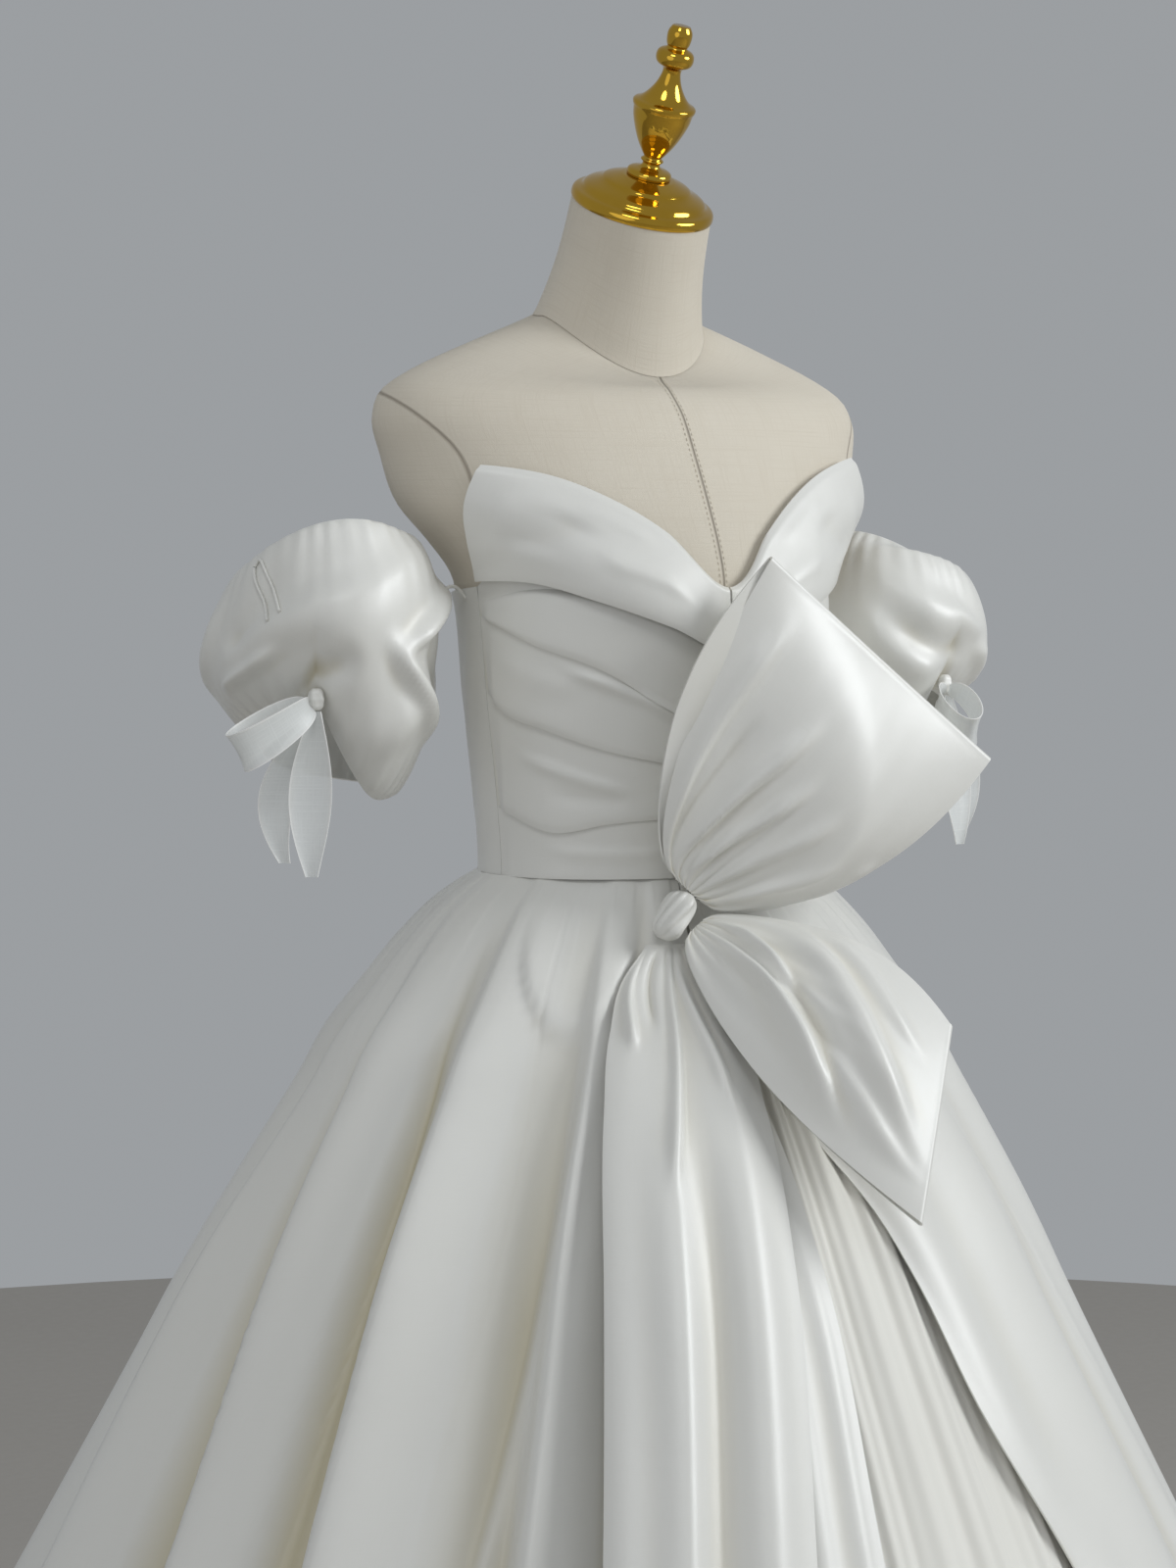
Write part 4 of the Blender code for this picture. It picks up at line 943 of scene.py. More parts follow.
# A fold hung in a curve below the waist, at the wearer's right of the bow
swagValues = {
    "azimuth": -45.0, "reach": 16.0, "low": 0.953, "climb": 0.064, "above": 0.045, "below": 0.0070,
    "rise": 0.0048,
}


def swag(azimuth, height, values):
    away = (azimuth - values["azimuth"]) / values["reach"]
    over = height - values["low"] - values["climb"] * away ** 2
    width = np.where(over > 0.0, values["above"], values["below"])
    return values["rise"] * np.exp(-(over / width) ** 2) * smoothStep((1.15 - np.abs(away)) / 0.5)


def crestRadius(azimuth, height):
    drop = garment["waistHeight"] - height
    waist = torsoRadius(azimuth, garment["waistHeight"]) + garment["skinGap"] + skirtValues["wall"] / 2
    ahead = np.clip(np.cos(np.radians(azimuth + 12.0)), 0.0, 1.0) ** 1.5
    flare = read(flareTable, "side", drop) * (1.0 - ahead) + read(flareTable, "front", drop) * ahead
    fuller = 1.0 + 0.055 * np.cos(np.radians(azimuth + 120.0)) * np.clip(drop / 0.3, 0, 1)
    return waist + flare * fuller


def valleyDepth(azimuth, height):
    drop = garment["waistHeight"] - height
    deep = 0.002 + 0.034 * np.clip(drop / 0.30, 0, 1) + 0.022 * np.clip(drop - 0.30, 0, 1)
    smooth = np.exp(-((azimuth - 22.0) / 36.0) ** 4)
    return deep * (1.0 - 0.62 * smooth)


def skirtRadius(azimuth, height):
    azimuth = wrapped(azimuth)
    fall = np.clip((garment["waistHeight"] - height) / garment["waistHeight"], 0.0, 1.0) ** 0.7
    flat = np.ones(np.broadcast(azimuth, height).shape)
    for i in range(len(pleatTable["waist"])):
        centre = pleatTable["waist"][i] + (pleatTable["hem"][i] - pleatTable["waist"][i]) * fall
        away = wrapped(azimuth - centre)
        lean = pleatTable["lean"][i]
        width = pleatTable["halfWidth"][i] * np.where(away < 0, 1.0 - lean, 1.0 + lean)
        flat = flat * (1.0 - pleatTable["rise"][i] * np.exp(-np.abs(away / width) ** 2.2))
    return crestRadius(azimuth, height) - valleyDepth(azimuth, height) * flat


def waistGathers(azimuth, below, values):
    # knife pleats at the waist, each of its own depth and length
    turns = azimuth / 360.0 * values["waistPleats"] + 0.35 * np.sin(np.radians(azimuth) * 7.0)
    saw = turns % 1.0
    knife = saw ** 1.5 * smoothStep((1.0 - saw) / 0.15)
    uneven = 0.75 + 0.25 * np.sin(np.floor(turns) * 2.4)
    fall = np.exp(-below / (values["waistPleatDrop"] * uneven)) * smoothStep(below / 0.006)
    calm = np.exp(-((wrapped(azimuth) - values["flatAzimuth"]) / values["flatReach"]) ** 4)
    return values["waistPleatDepth"] * knife * uneven * fall * (1.0 - values["flatShare"] * calm)


def makeOverskirt(values):
    print("overskirt")
    drop = np.linspace(0.0, 1.0, values["rows"]) ** 1.35
    height = garment["waistHeight"] - (garment["waistHeight"] - garment["hemHeight"]) * drop[None, :]
    first = read(openingTable, "leftEdge", height)
    last = read(openingTable, "rightEdge", height) + 360.0
    step = np.linspace(0.0, 1.0, values["columns"])[:, None]
    azimuth = first + (last - first) * step
    below = garment["waistHeight"] - height
    metres = values["metresPerDegree"]
    folds = creases(wrapped(azimuth) * metres, height, stretched(skirtCreases, metres))
    folds = (folds + swag(wrapped(azimuth), height, swagValues)) * smoothStep(below / 0.05)
    gores = values["gores"]
    seams = sum(np.exp(-((step - i / gores) / values["seamShare"]) ** 2) for i in range(1, gores))
    radius = skirtRadius(azimuth, height) + folds + waistGathers(azimuth, below, values)
    radius = radius - values["seamDepth"] * seams * smoothStep(below / 0.03)
    nearEdge = np.exp(-((azimuth - first) / values["edgeReach"]) ** 2)
    radius = radius - values["edgeDip"] * nearEdge * smoothStep(below / 0.15)
    surface = onAzimuth(azimuth, radius, height)
    piece = clothShell("overskirt", surface, values["wall"], satin,
                       passes=values["paintedShadePasses"], depth=values["paintedShadeDepth"])
    finishPiece(piece, "satin", *[f"overskirt_gore_{i}" for i in range(1, gores + 1)])


underskirtValues = {
    "rows": 34, "wall": 0.0010, "fineFrom": -24.0, "fineTo": 42.0, "fineColumns": 210, "restColumns": 170,
    "belowWaist": 0.020, "aboveHem": 0.004, "fineGather": 0.0011, "gather": 0.0022,
    "inset": 0.0045, "insetEase": 0.0040,
}


def makeUnderskirt(values):
    # columns lie closer together in the opening, where the fine gathers show
    print("underskirt")
    fine = np.linspace(values["fineFrom"], values["fineTo"], values["fineColumns"])
    rest = np.linspace(values["fineTo"], values["fineFrom"] + 360.0, values["restColumns"])[1:-1]
    azimuth = np.concatenate([fine, rest])[:, None]
    high = garment["waistHeight"] - values["belowWaist"]
    drop = np.linspace(0.0, 1.0, values["rows"])[None, :] ** 1.3
    height = high - (high - garment["hemHeight"] - values["aboveHem"]) * drop
    bare = wrapped(azimuth)
    below = garment["waistHeight"] - height
    ease = np.clip(below / 0.1, 0.0, 1.0)
    near = smoothStep((bare - values["fineFrom"]) / 6.0) * smoothStep((values["fineTo"] - bare) / 6.0)
    turn = np.radians(bare)
    gathers = values["fineGather"] * np.cos(turn * 150.0 + 1.6 * np.sin(turn * 17.0))
    gathers = gathers * (0.65 + 0.35 * np.sin(turn * 31.0 + below * 3.0)) * near
    gathers = gathers + values["gather"] * np.cos(turn * 48.0 + 0.8 * np.sin(turn * 9.0))
    inset = valleyDepth(bare, height) * (1.0 - 0.45 * near)
    inset = inset + values["inset"] + values["insetEase"] * ease - gathers * ease
    surface = onAzimuth(azimuth, crestRadius(bare, height) - inset, height)
    piece = clothShell("underskirt", surface, values["wall"], tulle, wrap=True)
    finishPiece(piece, "tulle", *[f"underskirt_panel_{i}" for i in range(1, 5)])


makeOverskirt(skirtValues)
makeUnderskirt(underskirtValues)

# Bow
frontTailTable = columnsOf(
    "height rightEdge leftEdge lift",
    (0.020, -37.0, -15.5, 0.022), (0.300, -34.5, -14.5, 0.020), (0.650, -33.0, -11.5, 0.016),
    (0.800, -34.0, -7.5, 0.014), (0.900, -35.5, -5.0, 0.0095), (0.950, -35.5, -5.0, 0.0060),
    (0.985, -33.0, -8.0, 0.0035), (1.005, -27.0, -12.0, 0.0025),
)
backTailTable = columnsOf(
    "height rightEdge leftEdge lift",
    (0.025, -24.0, -6.5, 0.006), (0.300, -24.0, -5.0, 0.006), (0.650, -23.0, -3.3, 0.005),
    (0.800, -22.0, -2.0, 0.0040), (0.900, -21.0, -4.0, 0.0020), (0.950, -20.0, -8.0, 0.0007),
)
# Folds down the tails: place across from -1 to 1, height, then width and rise in metres
frontTailCreases = creaseTable(
    (-0.94, 1.006, -0.60, 0.938, 0.000, 0.0055, 0.0070, 0.6),
    (-0.52, 1.006, -0.36, 0.950, 0.000, 0.0045, -0.0060, 1.0),
    (-0.02, 1.010, -0.28, 0.850, 0.003, 0.0055, 0.0080, 0.6),
    (-0.27, 0.990, -0.22, 0.250, 0.000, 0.0200, 0.0150, 0.5),
    (-0.22, 0.460, -0.12, -0.300, 0.000, 0.0220, 0.0150, 0.6),
    (0.10, 0.930, 0.12, 0.300, 0.000, 0.0080, -0.0050, 1.3),
    (0.06, 1.010, 0.54, 0.900, 0.002, 0.0060, 0.0070, 0.7),
    (0.46, 0.990, 0.58, 0.420, 0.000, 0.0190, 0.0130, 0.8),
    (0.58, 0.620, 0.52, -0.200, 0.000, 0.0210, 0.0130, 0.8),
    (-0.82, 0.930, -0.80, -0.200, 0.000, 0.0160, 0.0060, 0.9),
)
backTailCreases = creaseTable(
    (0.20, 0.940, 0.45, 0.100, 0.000, 0.0140, 0.0040, 0.6),
    (0.75, 0.880, 0.80, 0.300, 0.000, 0.0080, 0.0030, 0.7),
)
tailValues = {
    "frontTail": {"columns": 110, "rows": 160, "wall": 0.0014, "edgeRound": 0.0050},
    "backTail": {"columns": 40, "rows": 110, "wall": 0.0012, "edgeRound": 0.0010},
    "halfBreadth": 0.060, "openOver": 0.06, "gatherDepth": 0.0012, "gatherDrop": 0.05,
}


def makeTail(name, node, source, lines, values):
    # gathered at the knot, and opening out below it
    drop = np.linspace(0.0, 1.0, values["rows"])[None, :] ** 1.3
    below = (source["height"][-1] - source["height"][0]) * drop
    height = source["height"][-1] - below
    across = np.linspace(-1.0, 1.0, values["columns"])[:, None]
    right = read(source, "rightEdge", height)
    left = read(source, "leftEdge", height)
    azimuth = right + (left - right) * (across + 1.0) / 2.0
    opened = np.clip(below / tailValues["openOver"], 0.0, 1.0)
    gathers = np.cos(across * 19.0 + 1.3 * np.sin(across * 5.0)) * np.exp(-below / tailValues["gatherDrop"])
    half = tailValues["halfBreadth"]
    wave = creases(across * half, height, stretched(lines, half)) * (0.35 + 0.65 * opened)
    wave = (wave + tailValues["gatherDepth"] * gathers) * smoothStep(below / 0.01)
    wave = wave + values["edgeRound"] * (1.0 - across ** 6) * opened
    lift = read(source, "lift", height)
    surface = onAzimuth(azimuth, crestRadius(azimuth, height) + lift + wave, height)
    piece = clothShell(name, surface, values["wall"], satin)
    finishPiece(piece, "satin", node)


upperLoop = {
    "knot": (-0.0328, -0.1288, 1.0433), "cornerA": (0.011, -0.160, 1.272), "cornerB": (0.189, -0.170, 1.129),
    "foldRadius": 0.0024, "pinch": 0.11, "bulge": 0.50, "frontPuff": 0.041, "backPuff": 0.006,
    "cup": 0.004, "gathers": 9.0, "gatherDepth": 0.0040,
    "frontEdges": (0.05, 0.16), "backEdges": (0.24, 0.10),
    "curl": 0.0125, "flank": (1.0, 0.80),
    "crest": columnsOf(
        "reach place", (0.0, 0.70), (0.25, 0.70), (0.45, 0.58), (0.65, 0.32), (0.85, 0.0), (1.0, -0.2)),
    "creases": creaseTable(
        (0.00, -0.62, 0.72, -0.14, 0.03, 0.08, 0.0075, 0.5),
        (0.00, -0.36, 0.55, 0.12, 0.04, 0.07, 0.0060, 0.5),
        (0.02, 0.10, 0.50, 0.42, 0.03, 0.08, 0.0050, 0.6),
        (0.00, -0.90, 0.95, -0.66, -0.03, 0.09, 0.0075, 0.6),
        (0.04, -0.75, 0.60, -0.52, 0.02, 0.06, -0.0045, 1.0),
        (0.02, 0.52, 0.42, 0.80, 0.02, 0.08, 0.0045, 0.6),
        (0.20, 0.98, 0.50, 0.93, 0.02, 0.06, 0.0040, 0.7),
    ),
}
lowerLoop = {
    "knot": (-0.0267, -0.1308, 1.0167), "cornerA": (0.036, -0.312, 0.838), "cornerB": (0.106, -0.246, 0.956),
    "foldRadius": 0.0024, "pinch": 0.12, "bulge": 0.50, "frontPuff": 0.026, "backPuff": 0.004,
    "cup": -0.004, "gathers": 7.0, "gatherDepth": 0.0034,
    "frontEdges": (0.30, 0.42), "backEdges": (0.18, 0.50),
    "curl": 0.0, "flank": (0.80, 0.85),
    "crest": columnsOf("reach place", (0.0, 0.10), (0.3, 0.05), (0.6, -0.05), (1.0, -0.2)),
    "creases": creaseTable(
        (0.02, 0.06, 0.72, -0.92, 0.10, 0.10, 0.0095, 0.5),
        (0.06, 0.56, 0.42, -0.10, 0.02, 0.07, 0.0090, 0.5),
        (0.12, 1.00, 0.95, -0.62, 0.12, 0.13, 0.0110, 0.5),
        (0.30, 1.02, 0.92, 0.35, 0.03, 0.07, 0.0045, 0.7),
        (0.45, -0.25, 0.95, -0.78, 0.03, 0.10, 0.0045, 0.7),
        (0.18, 0.24, 0.66, -0.62, 0.08, 0.06, -0.0050, 1.0),
    ),
}
loopValues = {
    "frontSteps": 64, "foldSteps": 9, "backSteps": 40, "columns": 76, "wall": 0.0016,
    "ridgeRound": 0.10, "ridgeWhole": 0.905, "gatherReach": 0.20, "backCreaseShare": 0.5, "backDome": 0.35,
}


def loopAxes(knot, cornerA, cornerB):
    # along the loop, across it and out of it, with its length, half its width and its far edge's slant
    run = (cornerA + cornerB) / 2 - knot
    length = np.linalg.norm(run)
    run = run / length
    side = cornerB - cornerA
    slant = np.dot(side, run) / 2
    side = side - run * np.dot(side, run)
    halfWidth = np.linalg.norm(side) / 2
    side = side / (2 * halfWidth)
    out = np.cross(run, side)
    return run, side, out if out[1] <= 0 else -out, length, halfWidth, slant


def makeLoop(name, node, size, values):
    # a strip from the knot out to its far fold and back behind itself, open at both sides
    knot, cornerA, cornerB = (np.array(size[key]) for key in ("knot", "cornerA", "cornerB"))
    run, side, out, length, halfWidth, slant = loopAxes(knot, cornerA, cornerB)
    turn = size["foldRadius"]
    front = np.linspace(0.0, 1.0, values["frontSteps"]) ** 1.1
    back = np.linspace(1.0, 0.0, values["backSteps"]) ** 1.1
    arc = np.radians(np.linspace(90.0, -90.0, values["foldSteps"] + 2)[1:-1])
    reach = np.concatenate([front, np.ones_like(arc), back])[:, None]
    beyond = np.concatenate([front * 0, np.cos(arc), back * 0])[:, None] * turn
    layer = np.concatenate([front * 0 + 1.0, np.sin(arc), back * 0 - 1.0])[:, None]
    v = np.linspace(-1.0, 1.0, values["columns"])[None, :]
    isFront = smoothStep(layer * 0.5 + 0.5)
    isBack = 1.0 - isFront
    bow = np.sin(math.pi * reach ** 0.8)
    edges = [size["frontEdges"][k] * isFront + size["backEdges"][k] * isBack for k in (0, 1)]
    wide = 1.0 + bow * np.where(v < 0, edges[0], edges[1]) * np.abs(v)
    spread = (size["pinch"] + (1.0 - size["pinch"]) * reach ** size["bulge"]) * wide
    crest = read(size["crest"], "place", reach)
    away = (v - crest) / np.where(v < crest, 1.0 + crest, 1.0 - crest)
    soft = values["ridgeRound"]
    ridge = (np.sqrt(away * away + soft ** 2) - soft) / values["ridgeWhole"]
    flank = np.where(v < crest, size["flank"][0], size["flank"][1])
    dome = np.where(layer > 0, 1.0 - flank * ridge ** 1.25, 1.0 - values["backDome"] * v * v)
    puff = size["frontPuff"] * isFront + size["backPuff"] * isBack
    swell = np.sin(math.pi * reach ** 1.15) ** 0.9
    fine = np.cos(math.pi * size["gathers"] * v + 1.4 * np.sin(v * 4.0))
    fine = fine * np.exp(-reach / values["gatherReach"]) * reach ** 0.4
    folds = creases(reach, v, size["creases"]) * np.clip(layer, 0.0, 1.0)
    backFolds = creases(reach, -v * 0.9, size["creases"]) * np.clip(-layer, 0.0, 1.0)
    lift = layer * (turn + puff * swell * dome + size["gatherDepth"] * fine) + folds
    lift = lift - backFolds * values["backCreaseShare"] + size["cup"] * v * v * reach
    lift = lift + size["curl"] * isBack * smoothStep((-v - 0.35) / 0.45) * swell
    ahead = length * reach + beyond + slant * v * reach ** 1.5
    shift = v * halfWidth * spread
    surface = knot + ahead[..., None] * run + shift[..., None] * side + lift[..., None] * out
    piece = clothShell(name, surface, values["wall"], satin, heart=surface.mean(axis=(0, 1)))
    finishPiece(piece, "satin", node)


knotValues = {
    "centre": (-0.042, -0.1259, 1.026), "lean": 34.0,
    "halfLength": 0.0185, "breadth": 0.0100, "depth": 0.0150,
    "levels": 60, "sides": 168, "folds": 8, "foldDepth": 0.15, "foldSkew": 0.7, "twist": 0.55,
    "coreShare": 0.90, "endClose": 0.96,
}


def makeKnot(values):
    lean = math.radians(values["lean"])
    lengthwise = np.array([math.sin(lean), 0.0, math.cos(lean)])
    aside = np.array([math.cos(lean), 0.0, -math.sin(lean)])
    ahead = np.array([0.0, -1.0, 0.0])
    turn = np.arange(values["sides"]) * 2.0 * math.pi / values["sides"]
    rings = []
    for part in np.linspace(-1.0, 1.0, values["levels"]):
        step = math.sin(part * math.pi / 2)
        swell = math.sqrt(1.0 - values["endClose"] * step ** 4)
        phase = turn * values["folds"] / (2.0 * math.pi) + values["twist"] * step + 0.2 * np.sin(turn * 2.0)
        skewed = (phase % 1.0) ** values["foldSkew"]
        layer = values["foldDepth"] * (0.5 - 0.5 * np.cos(2.0 * math.pi * skewed))
        share = swell * (values["coreShare"] + layer)
        ring = np.array(values["centre"]) + lengthwise * step * values["halfLength"]
        ring = ring + np.outer(np.cos(turn) * share * values["breadth"], aside)
        ring = ring + np.outer(np.sin(turn) * share * values["depth"], ahead)
        rings.append(ring)
    finishPiece(ringPiece("bowKnot", rings, satin), "satin", "bow_knot")


print("bow")
makeKnot(knotValues)
makeLoop("bowLoopUpper", "bow_loop_upper", upperLoop, loopValues)
makeLoop("bowLoopLower", "bow_loop_lower", lowerLoop, loopValues)
makeTail("bowTailFront", "bow_tail_front", frontTailTable, frontTailCreases, tailValues["frontTail"])
makeTail("bowTailBack", "bow_tail_back", backTailTable, backTailCreases, tailValues["backTail"])

# Sleeves
sleeveTable = columnsOf(
    "away top low edge bulge",
    (0, 0.064, -0.030, 0.048, 0.032), (22, 0.058, -0.036, 0.046, 0.034),
    (50, 0.054, -0.042, 0.044, 0.036), (90, 0.058, -0.060, 0.043, 0.036),
    (140, 0.068, -0.082, 0.043, 0.035), (190, 0.076, -0.090, 0.046, 0.032),
    (235, 0.083, -0.094, 0.048, 0.025), (280, 0.088, -0.100, 0.046, 0.038),
    (315, 0.083, -0.094, 0.045, 0.042), (340, 0.074, -0.066, 0.047, 0.038),
    (360, 0.064, -0.030, 0.048, 0.032),
)
# Large folds of the puffs: turn from the tie in degrees, share down, widths in shares and rise in metres
hiddenPuffCreases = (
    (64, 0.18, 110, 0.80, 0.05, 0.10, 0.0045, 0.6), (105, 0.10, 140, 0.60, -0.04, 0.11, 0.0075, 0.6),
    (150, 0.30, 172, 0.95, 0.04, 0.10, 0.0080, 0.6), (188, 0.08, 222, 0.62, 0.03, 0.11, 0.0070, 0.6),
    (232, 0.35, 258, 0.95, -0.04, 0.10, 0.0065, 0.6),
)
sleeveCreases = {
    "Right": creaseTable(
        (250, 0.02, 410, 0.50, 0.04, 0.06, 0.0105, 2.6),
        (258, 0.20, 324, 0.48, 0.00, 0.035, 0.0120, 0.8),
        (330, 0.40, 278, 0.84, 0.00, 0.035, 0.0120, 1.6),
        (300, 0.40, 268, 0.66, 0.00, 0.07, -0.0060, 1.0),
        (372, 0.20, 420, 0.52, 0.03, 0.07, -0.0050, 1.0),
        (340, 0.46, 380, 1.00, 0.03, 0.05, -0.0080, 1.0),
        (300, 0.60, 352, 1.00, 0.04, 0.09, 0.0070, 0.7),
        (376, 0.52, 430, 0.78, 0.05, 0.05, 0.0075, 0.8),
        *hiddenPuffCreases),
    "Left": creaseTable(
        (296, 0.10, 392, 0.56, 0.02, 0.07, 0.0070, 1.6),
        (300, 0.26, 352, 0.76, 0.00, 0.06, 0.0075, 1.4),
        (318, 0.30, 372, 0.80, 0.00, 0.07, -0.0050, 1.0),
        (20, 0.55, 70, 0.90, 0.03, 0.09, 0.0060, 0.7),
        *hiddenPuffCreases),
}
sleeveValues = {
    "centre": (0.237, 0.030, 1.205), "columns": 190, "rows": 66, "wall": 0.0012,
    "gathers": 34.0, "gatherDepth": 0.0022, "gatherShare": 0.10, "degreesPerShare": 110.0,
    "puffTurn": -4.0, "puffWide": 75.0, "puffShare": 0.12, "puffFall": 0.22,
}
tieValues = {
    "Left": {"side": 1.0, "tied": 8.0, "loopTurn": -25.0, "puffOver": 0.014},
    "Right": {"side": -1.0, "tied": 28.0, "loopTurn": 58.0, "puffOver": 0.038},
}
tieKnotValues = {
    "out": 0.0218, "down": 0.028, "levels": 25, "sides": 40, "halfHeight": 0.0075, "breadth": 0.0060,
    "depth": 0.0052, "folds": 5, "foldDepth": 0.07,
}
tieLoopValues = {
    "out": 0.87, "down": 0.50, "middle": 0.038, "halfLength": 0.031, "halfOpening": 0.012,
    "overlap": 0.0012, "leastWidth": 0.0032, "width": 0.0112, "curl": 0.0015,
}
tieTailValues = (
    {"drop": 0.112, "sway": 0.004, "shift": 0.000, "start": 0.003, "stand": 0.010, "width": 0.0125},
    {"drop": 0.104, "sway": 0.026, "shift": 0.004, "start": -0.003, "stand": -0.002, "width": 0.0105},
)
ribbonValues = {
    "across": 13, "along": 61, "wall": 0.0006, "edgeFrom": 0.80, "edgeOver": 0.10, "tailTop": 0.0082,
    "tailLeastWidth": 0.0022, "tailCurl": 0.0022,
}


def sleeveGrid(values, tied, puffOver, lines):
    away = (np.arange(values["columns"]) * 360.0 / values["columns"])[:, None]
    v = np.linspace(0.0, 1.0, values["rows"])[None, :]
    size = {name: read(sleeveTable, name, away) for name in sleeveTable}
    arch = np.sin(math.pi * v) ** 0.7
    turn = np.radians(away)
    edgeFall = np.exp(-v / values["gatherShare"]) + np.exp(-(1.0 - v) / values["gatherShare"])
    gathers = np.cos(turn * values["gathers"] + 1.5 * np.sin(turn * 5.0))
    gathers = gathers * edgeFall * smoothStep(v * (1 - v) / 0.02)
    share = values["degreesPerShare"]
    shared = stretched(lines, 1.0 / share)
    folds = sum(creases((away + whole) / share, v, shared) for whole in (-360.0, 0.0, 360.0))
    slack = 0.0020 * np.sin(turn * 3.0 + 4.0 * v) + 0.0014 * np.sin(turn * 7.0 - 6.0 * v)
    ahead = np.exp(-(wrapped(away - values["puffTurn"]) / values["puffWide"]) ** 2)
    past = np.clip(v - values["puffShare"], 0.0, 1.0)
    puff = puffOver * ahead * smoothStep(v / values["puffShare"]) * np.exp(-(past / values["puffFall"]) ** 2)
    radius = size["edge"] + size["bulge"] * arch + values["gatherDepth"] * gathers + (folds + slack) * arch
    height = size["top"] + (size["low"] - size["top"]) * v + puff
    return np.array(values["centre"]) + onAzimuth(tied + away, radius, height)


def ribbonStrip(name, node, line, halfWidths, across, curl, mirror):
    across = across / np.linalg.norm(across)
    v = np.linspace(-1.0, 1.0, ribbonValues["across"])
    tangent = np.gradient(line, axis=0)
    tangent /= np.linalg.norm(tangent, axis=1, keepdims=True)
    facing = np.cross(tangent, across)
    surface = line[:, None] + (halfWidths[:, None] * v)[..., None] * across
    surface = surface + (curl * (v ** 2 - 0.3))[None, :, None] * facing[:, None]
    surface = surface * mirror
    edge = smoothStep((np.abs(v) - ribbonValues["edgeFrom"]) / ribbonValues["edgeOver"])
    edges = np.tile(edge, (len(line), 1))
    piece = clothShell(name, surface, ribbonValues["wall"], organza, edgeShare=edges)
    finishPiece(piece, "ribbon", node)


def makeTieKnot(word, seat, back, outward, mirror, values):
    turn = np.arange(values["sides"]) * 2.0 * math.pi / values["sides"]
    rings = []
    for step in np.linspace(-1.0, 1.0, values["levels"]):
        swell = math.sqrt(max(0.12, 1.0 - 0.8 * step * step)) * (0.97 + 0.03 * math.cos(step * 9.0))
        folds = 1.0 + values["foldDepth"] * np.cos(values["folds"] * turn + 2.0 * step)
        ring = seat + np.array([0.0, 0.0, values["halfHeight"]]) * step
        ring = ring + np.outer(np.cos(turn) * folds, back) * values["breadth"] * swell
        ring = ring + np.outer(np.sin(turn) * folds, outward) * values["depth"] * swell
        rings.append(ring * mirror)
    finishPiece(ringPiece("tieKnot" + word, rings, satin), "ribbon", "tie_knot_" + word.lower())


def makeTieLoop(word, seat, run, out, mirror, values):
    step = np.linspace(0.0, 1.0, ribbonValues["along"])
    angle = math.pi * (2.0 * step - 1.0)
    line = seat + np.outer(values["middle"] + values["halfLength"] * np.cos(angle), run)
    opening = values["halfOpening"] * np.sin(angle) + values["overlap"] * (2.0 * step - 1.0)
    line = line + np.outer(opening, out)
    widths = values["leastWidth"] + values["width"] * np.sin(math.pi * step) ** 0.6
    ribbonStrip("tieLoop" + word, "tie_loop_" + word.lower(), line, widths, np.cross(run, out),
                values["curl"], mirror)


def makeTieTail(word, number, seat, back, outward, mirror, values):
    step = np.linspace(0.0, 1.0, ribbonValues["along"])
    sway = values["sway"] * np.sin(math.pi * step * 0.75) + values["shift"] * step
    lean = values["stand"] * step + values["start"] + 0.0012 * np.sin(step * 9.0) * step
    line = seat - np.outer(ribbonValues["tailTop"] + values["drop"] * step, (0.0, 0.0, 1.0))
    line = line + np.outer(sway, back) + np.outer(lean, outward)
    taper = np.sin(math.pi * (0.05 + 0.88 * step)) ** 1.2
    widths = ribbonValues["tailLeastWidth"] + values["width"] * taper
    ribbonStrip(f"tieTail{word}{number}", f"tie_tail_{word.lower()}_{number}", line, widths, back,
                ribbonValues["tailCurl"], mirror)


def makeTie(word, values):
    mirror = np.array([values["side"], 1.0, 1.0])
    turn = math.radians(values["tied"])
    outward = np.array([math.sin(turn), -math.cos(turn), 0.0])
    back = np.array([math.cos(turn), math.sin(turn), 0.0])
    down = np.array([0.0, 0.0, -1.0])
    seat = np.array(sleeveValues["centre"]) + outward * (sleeveTable["edge"][0] + tieKnotValues["out"])
    seat = seat + down * tieKnotValues["down"]
    makeTieKnot(word, seat, back, outward, mirror, tieKnotValues)
    swing = math.radians(values["loopTurn"])
    run = (back * math.sin(swing) + outward * math.cos(swing)) * tieLoopValues["out"]
    run = run + down * tieLoopValues["down"]
    out = outward * math.sin(swing) - back * math.cos(swing)
    makeTieLoop(word, seat, run, out, mirror, tieLoopValues)
    for number, size in enumerate(tieTailValues, 1):
        makeTieTail(word, number, seat, back, outward, mirror, size)


cordValues = {
    "sides": 14, "hookRadius": 0.0013, "hookPoints": 24, "hookAzimuth": 88.0, "hookHeight": 1.2450,
    "hookStand": 0.0022, "hookSag": 0.005, "loopRadius": 0.0011, "loopStand": 0.0021, "loopPoints": 60,
}


def cordAlong(name, path, radius, finish):
    tangent = np.gradient(path, axis=0)
    tangent /= np.linalg.norm(tangent, axis=1, keepdims=True)
    aside = np.cross(tangent, (0.31, 0.22, 0.92))
    aside /= np.linalg.norm(aside, axis=1, keepdims=True)
    over = np.cross(tangent, aside)
    turn = np.arange(cordValues["sides"]) * 2.0 * math.pi / cordValues["sides"]
    rings = [point + (np.outer(np.cos(turn), a) + np.outer(np.sin(turn), b)) * radius
             for point, a, b in zip(path, aside, over)]
    return ringPiece(name, rings, finish)


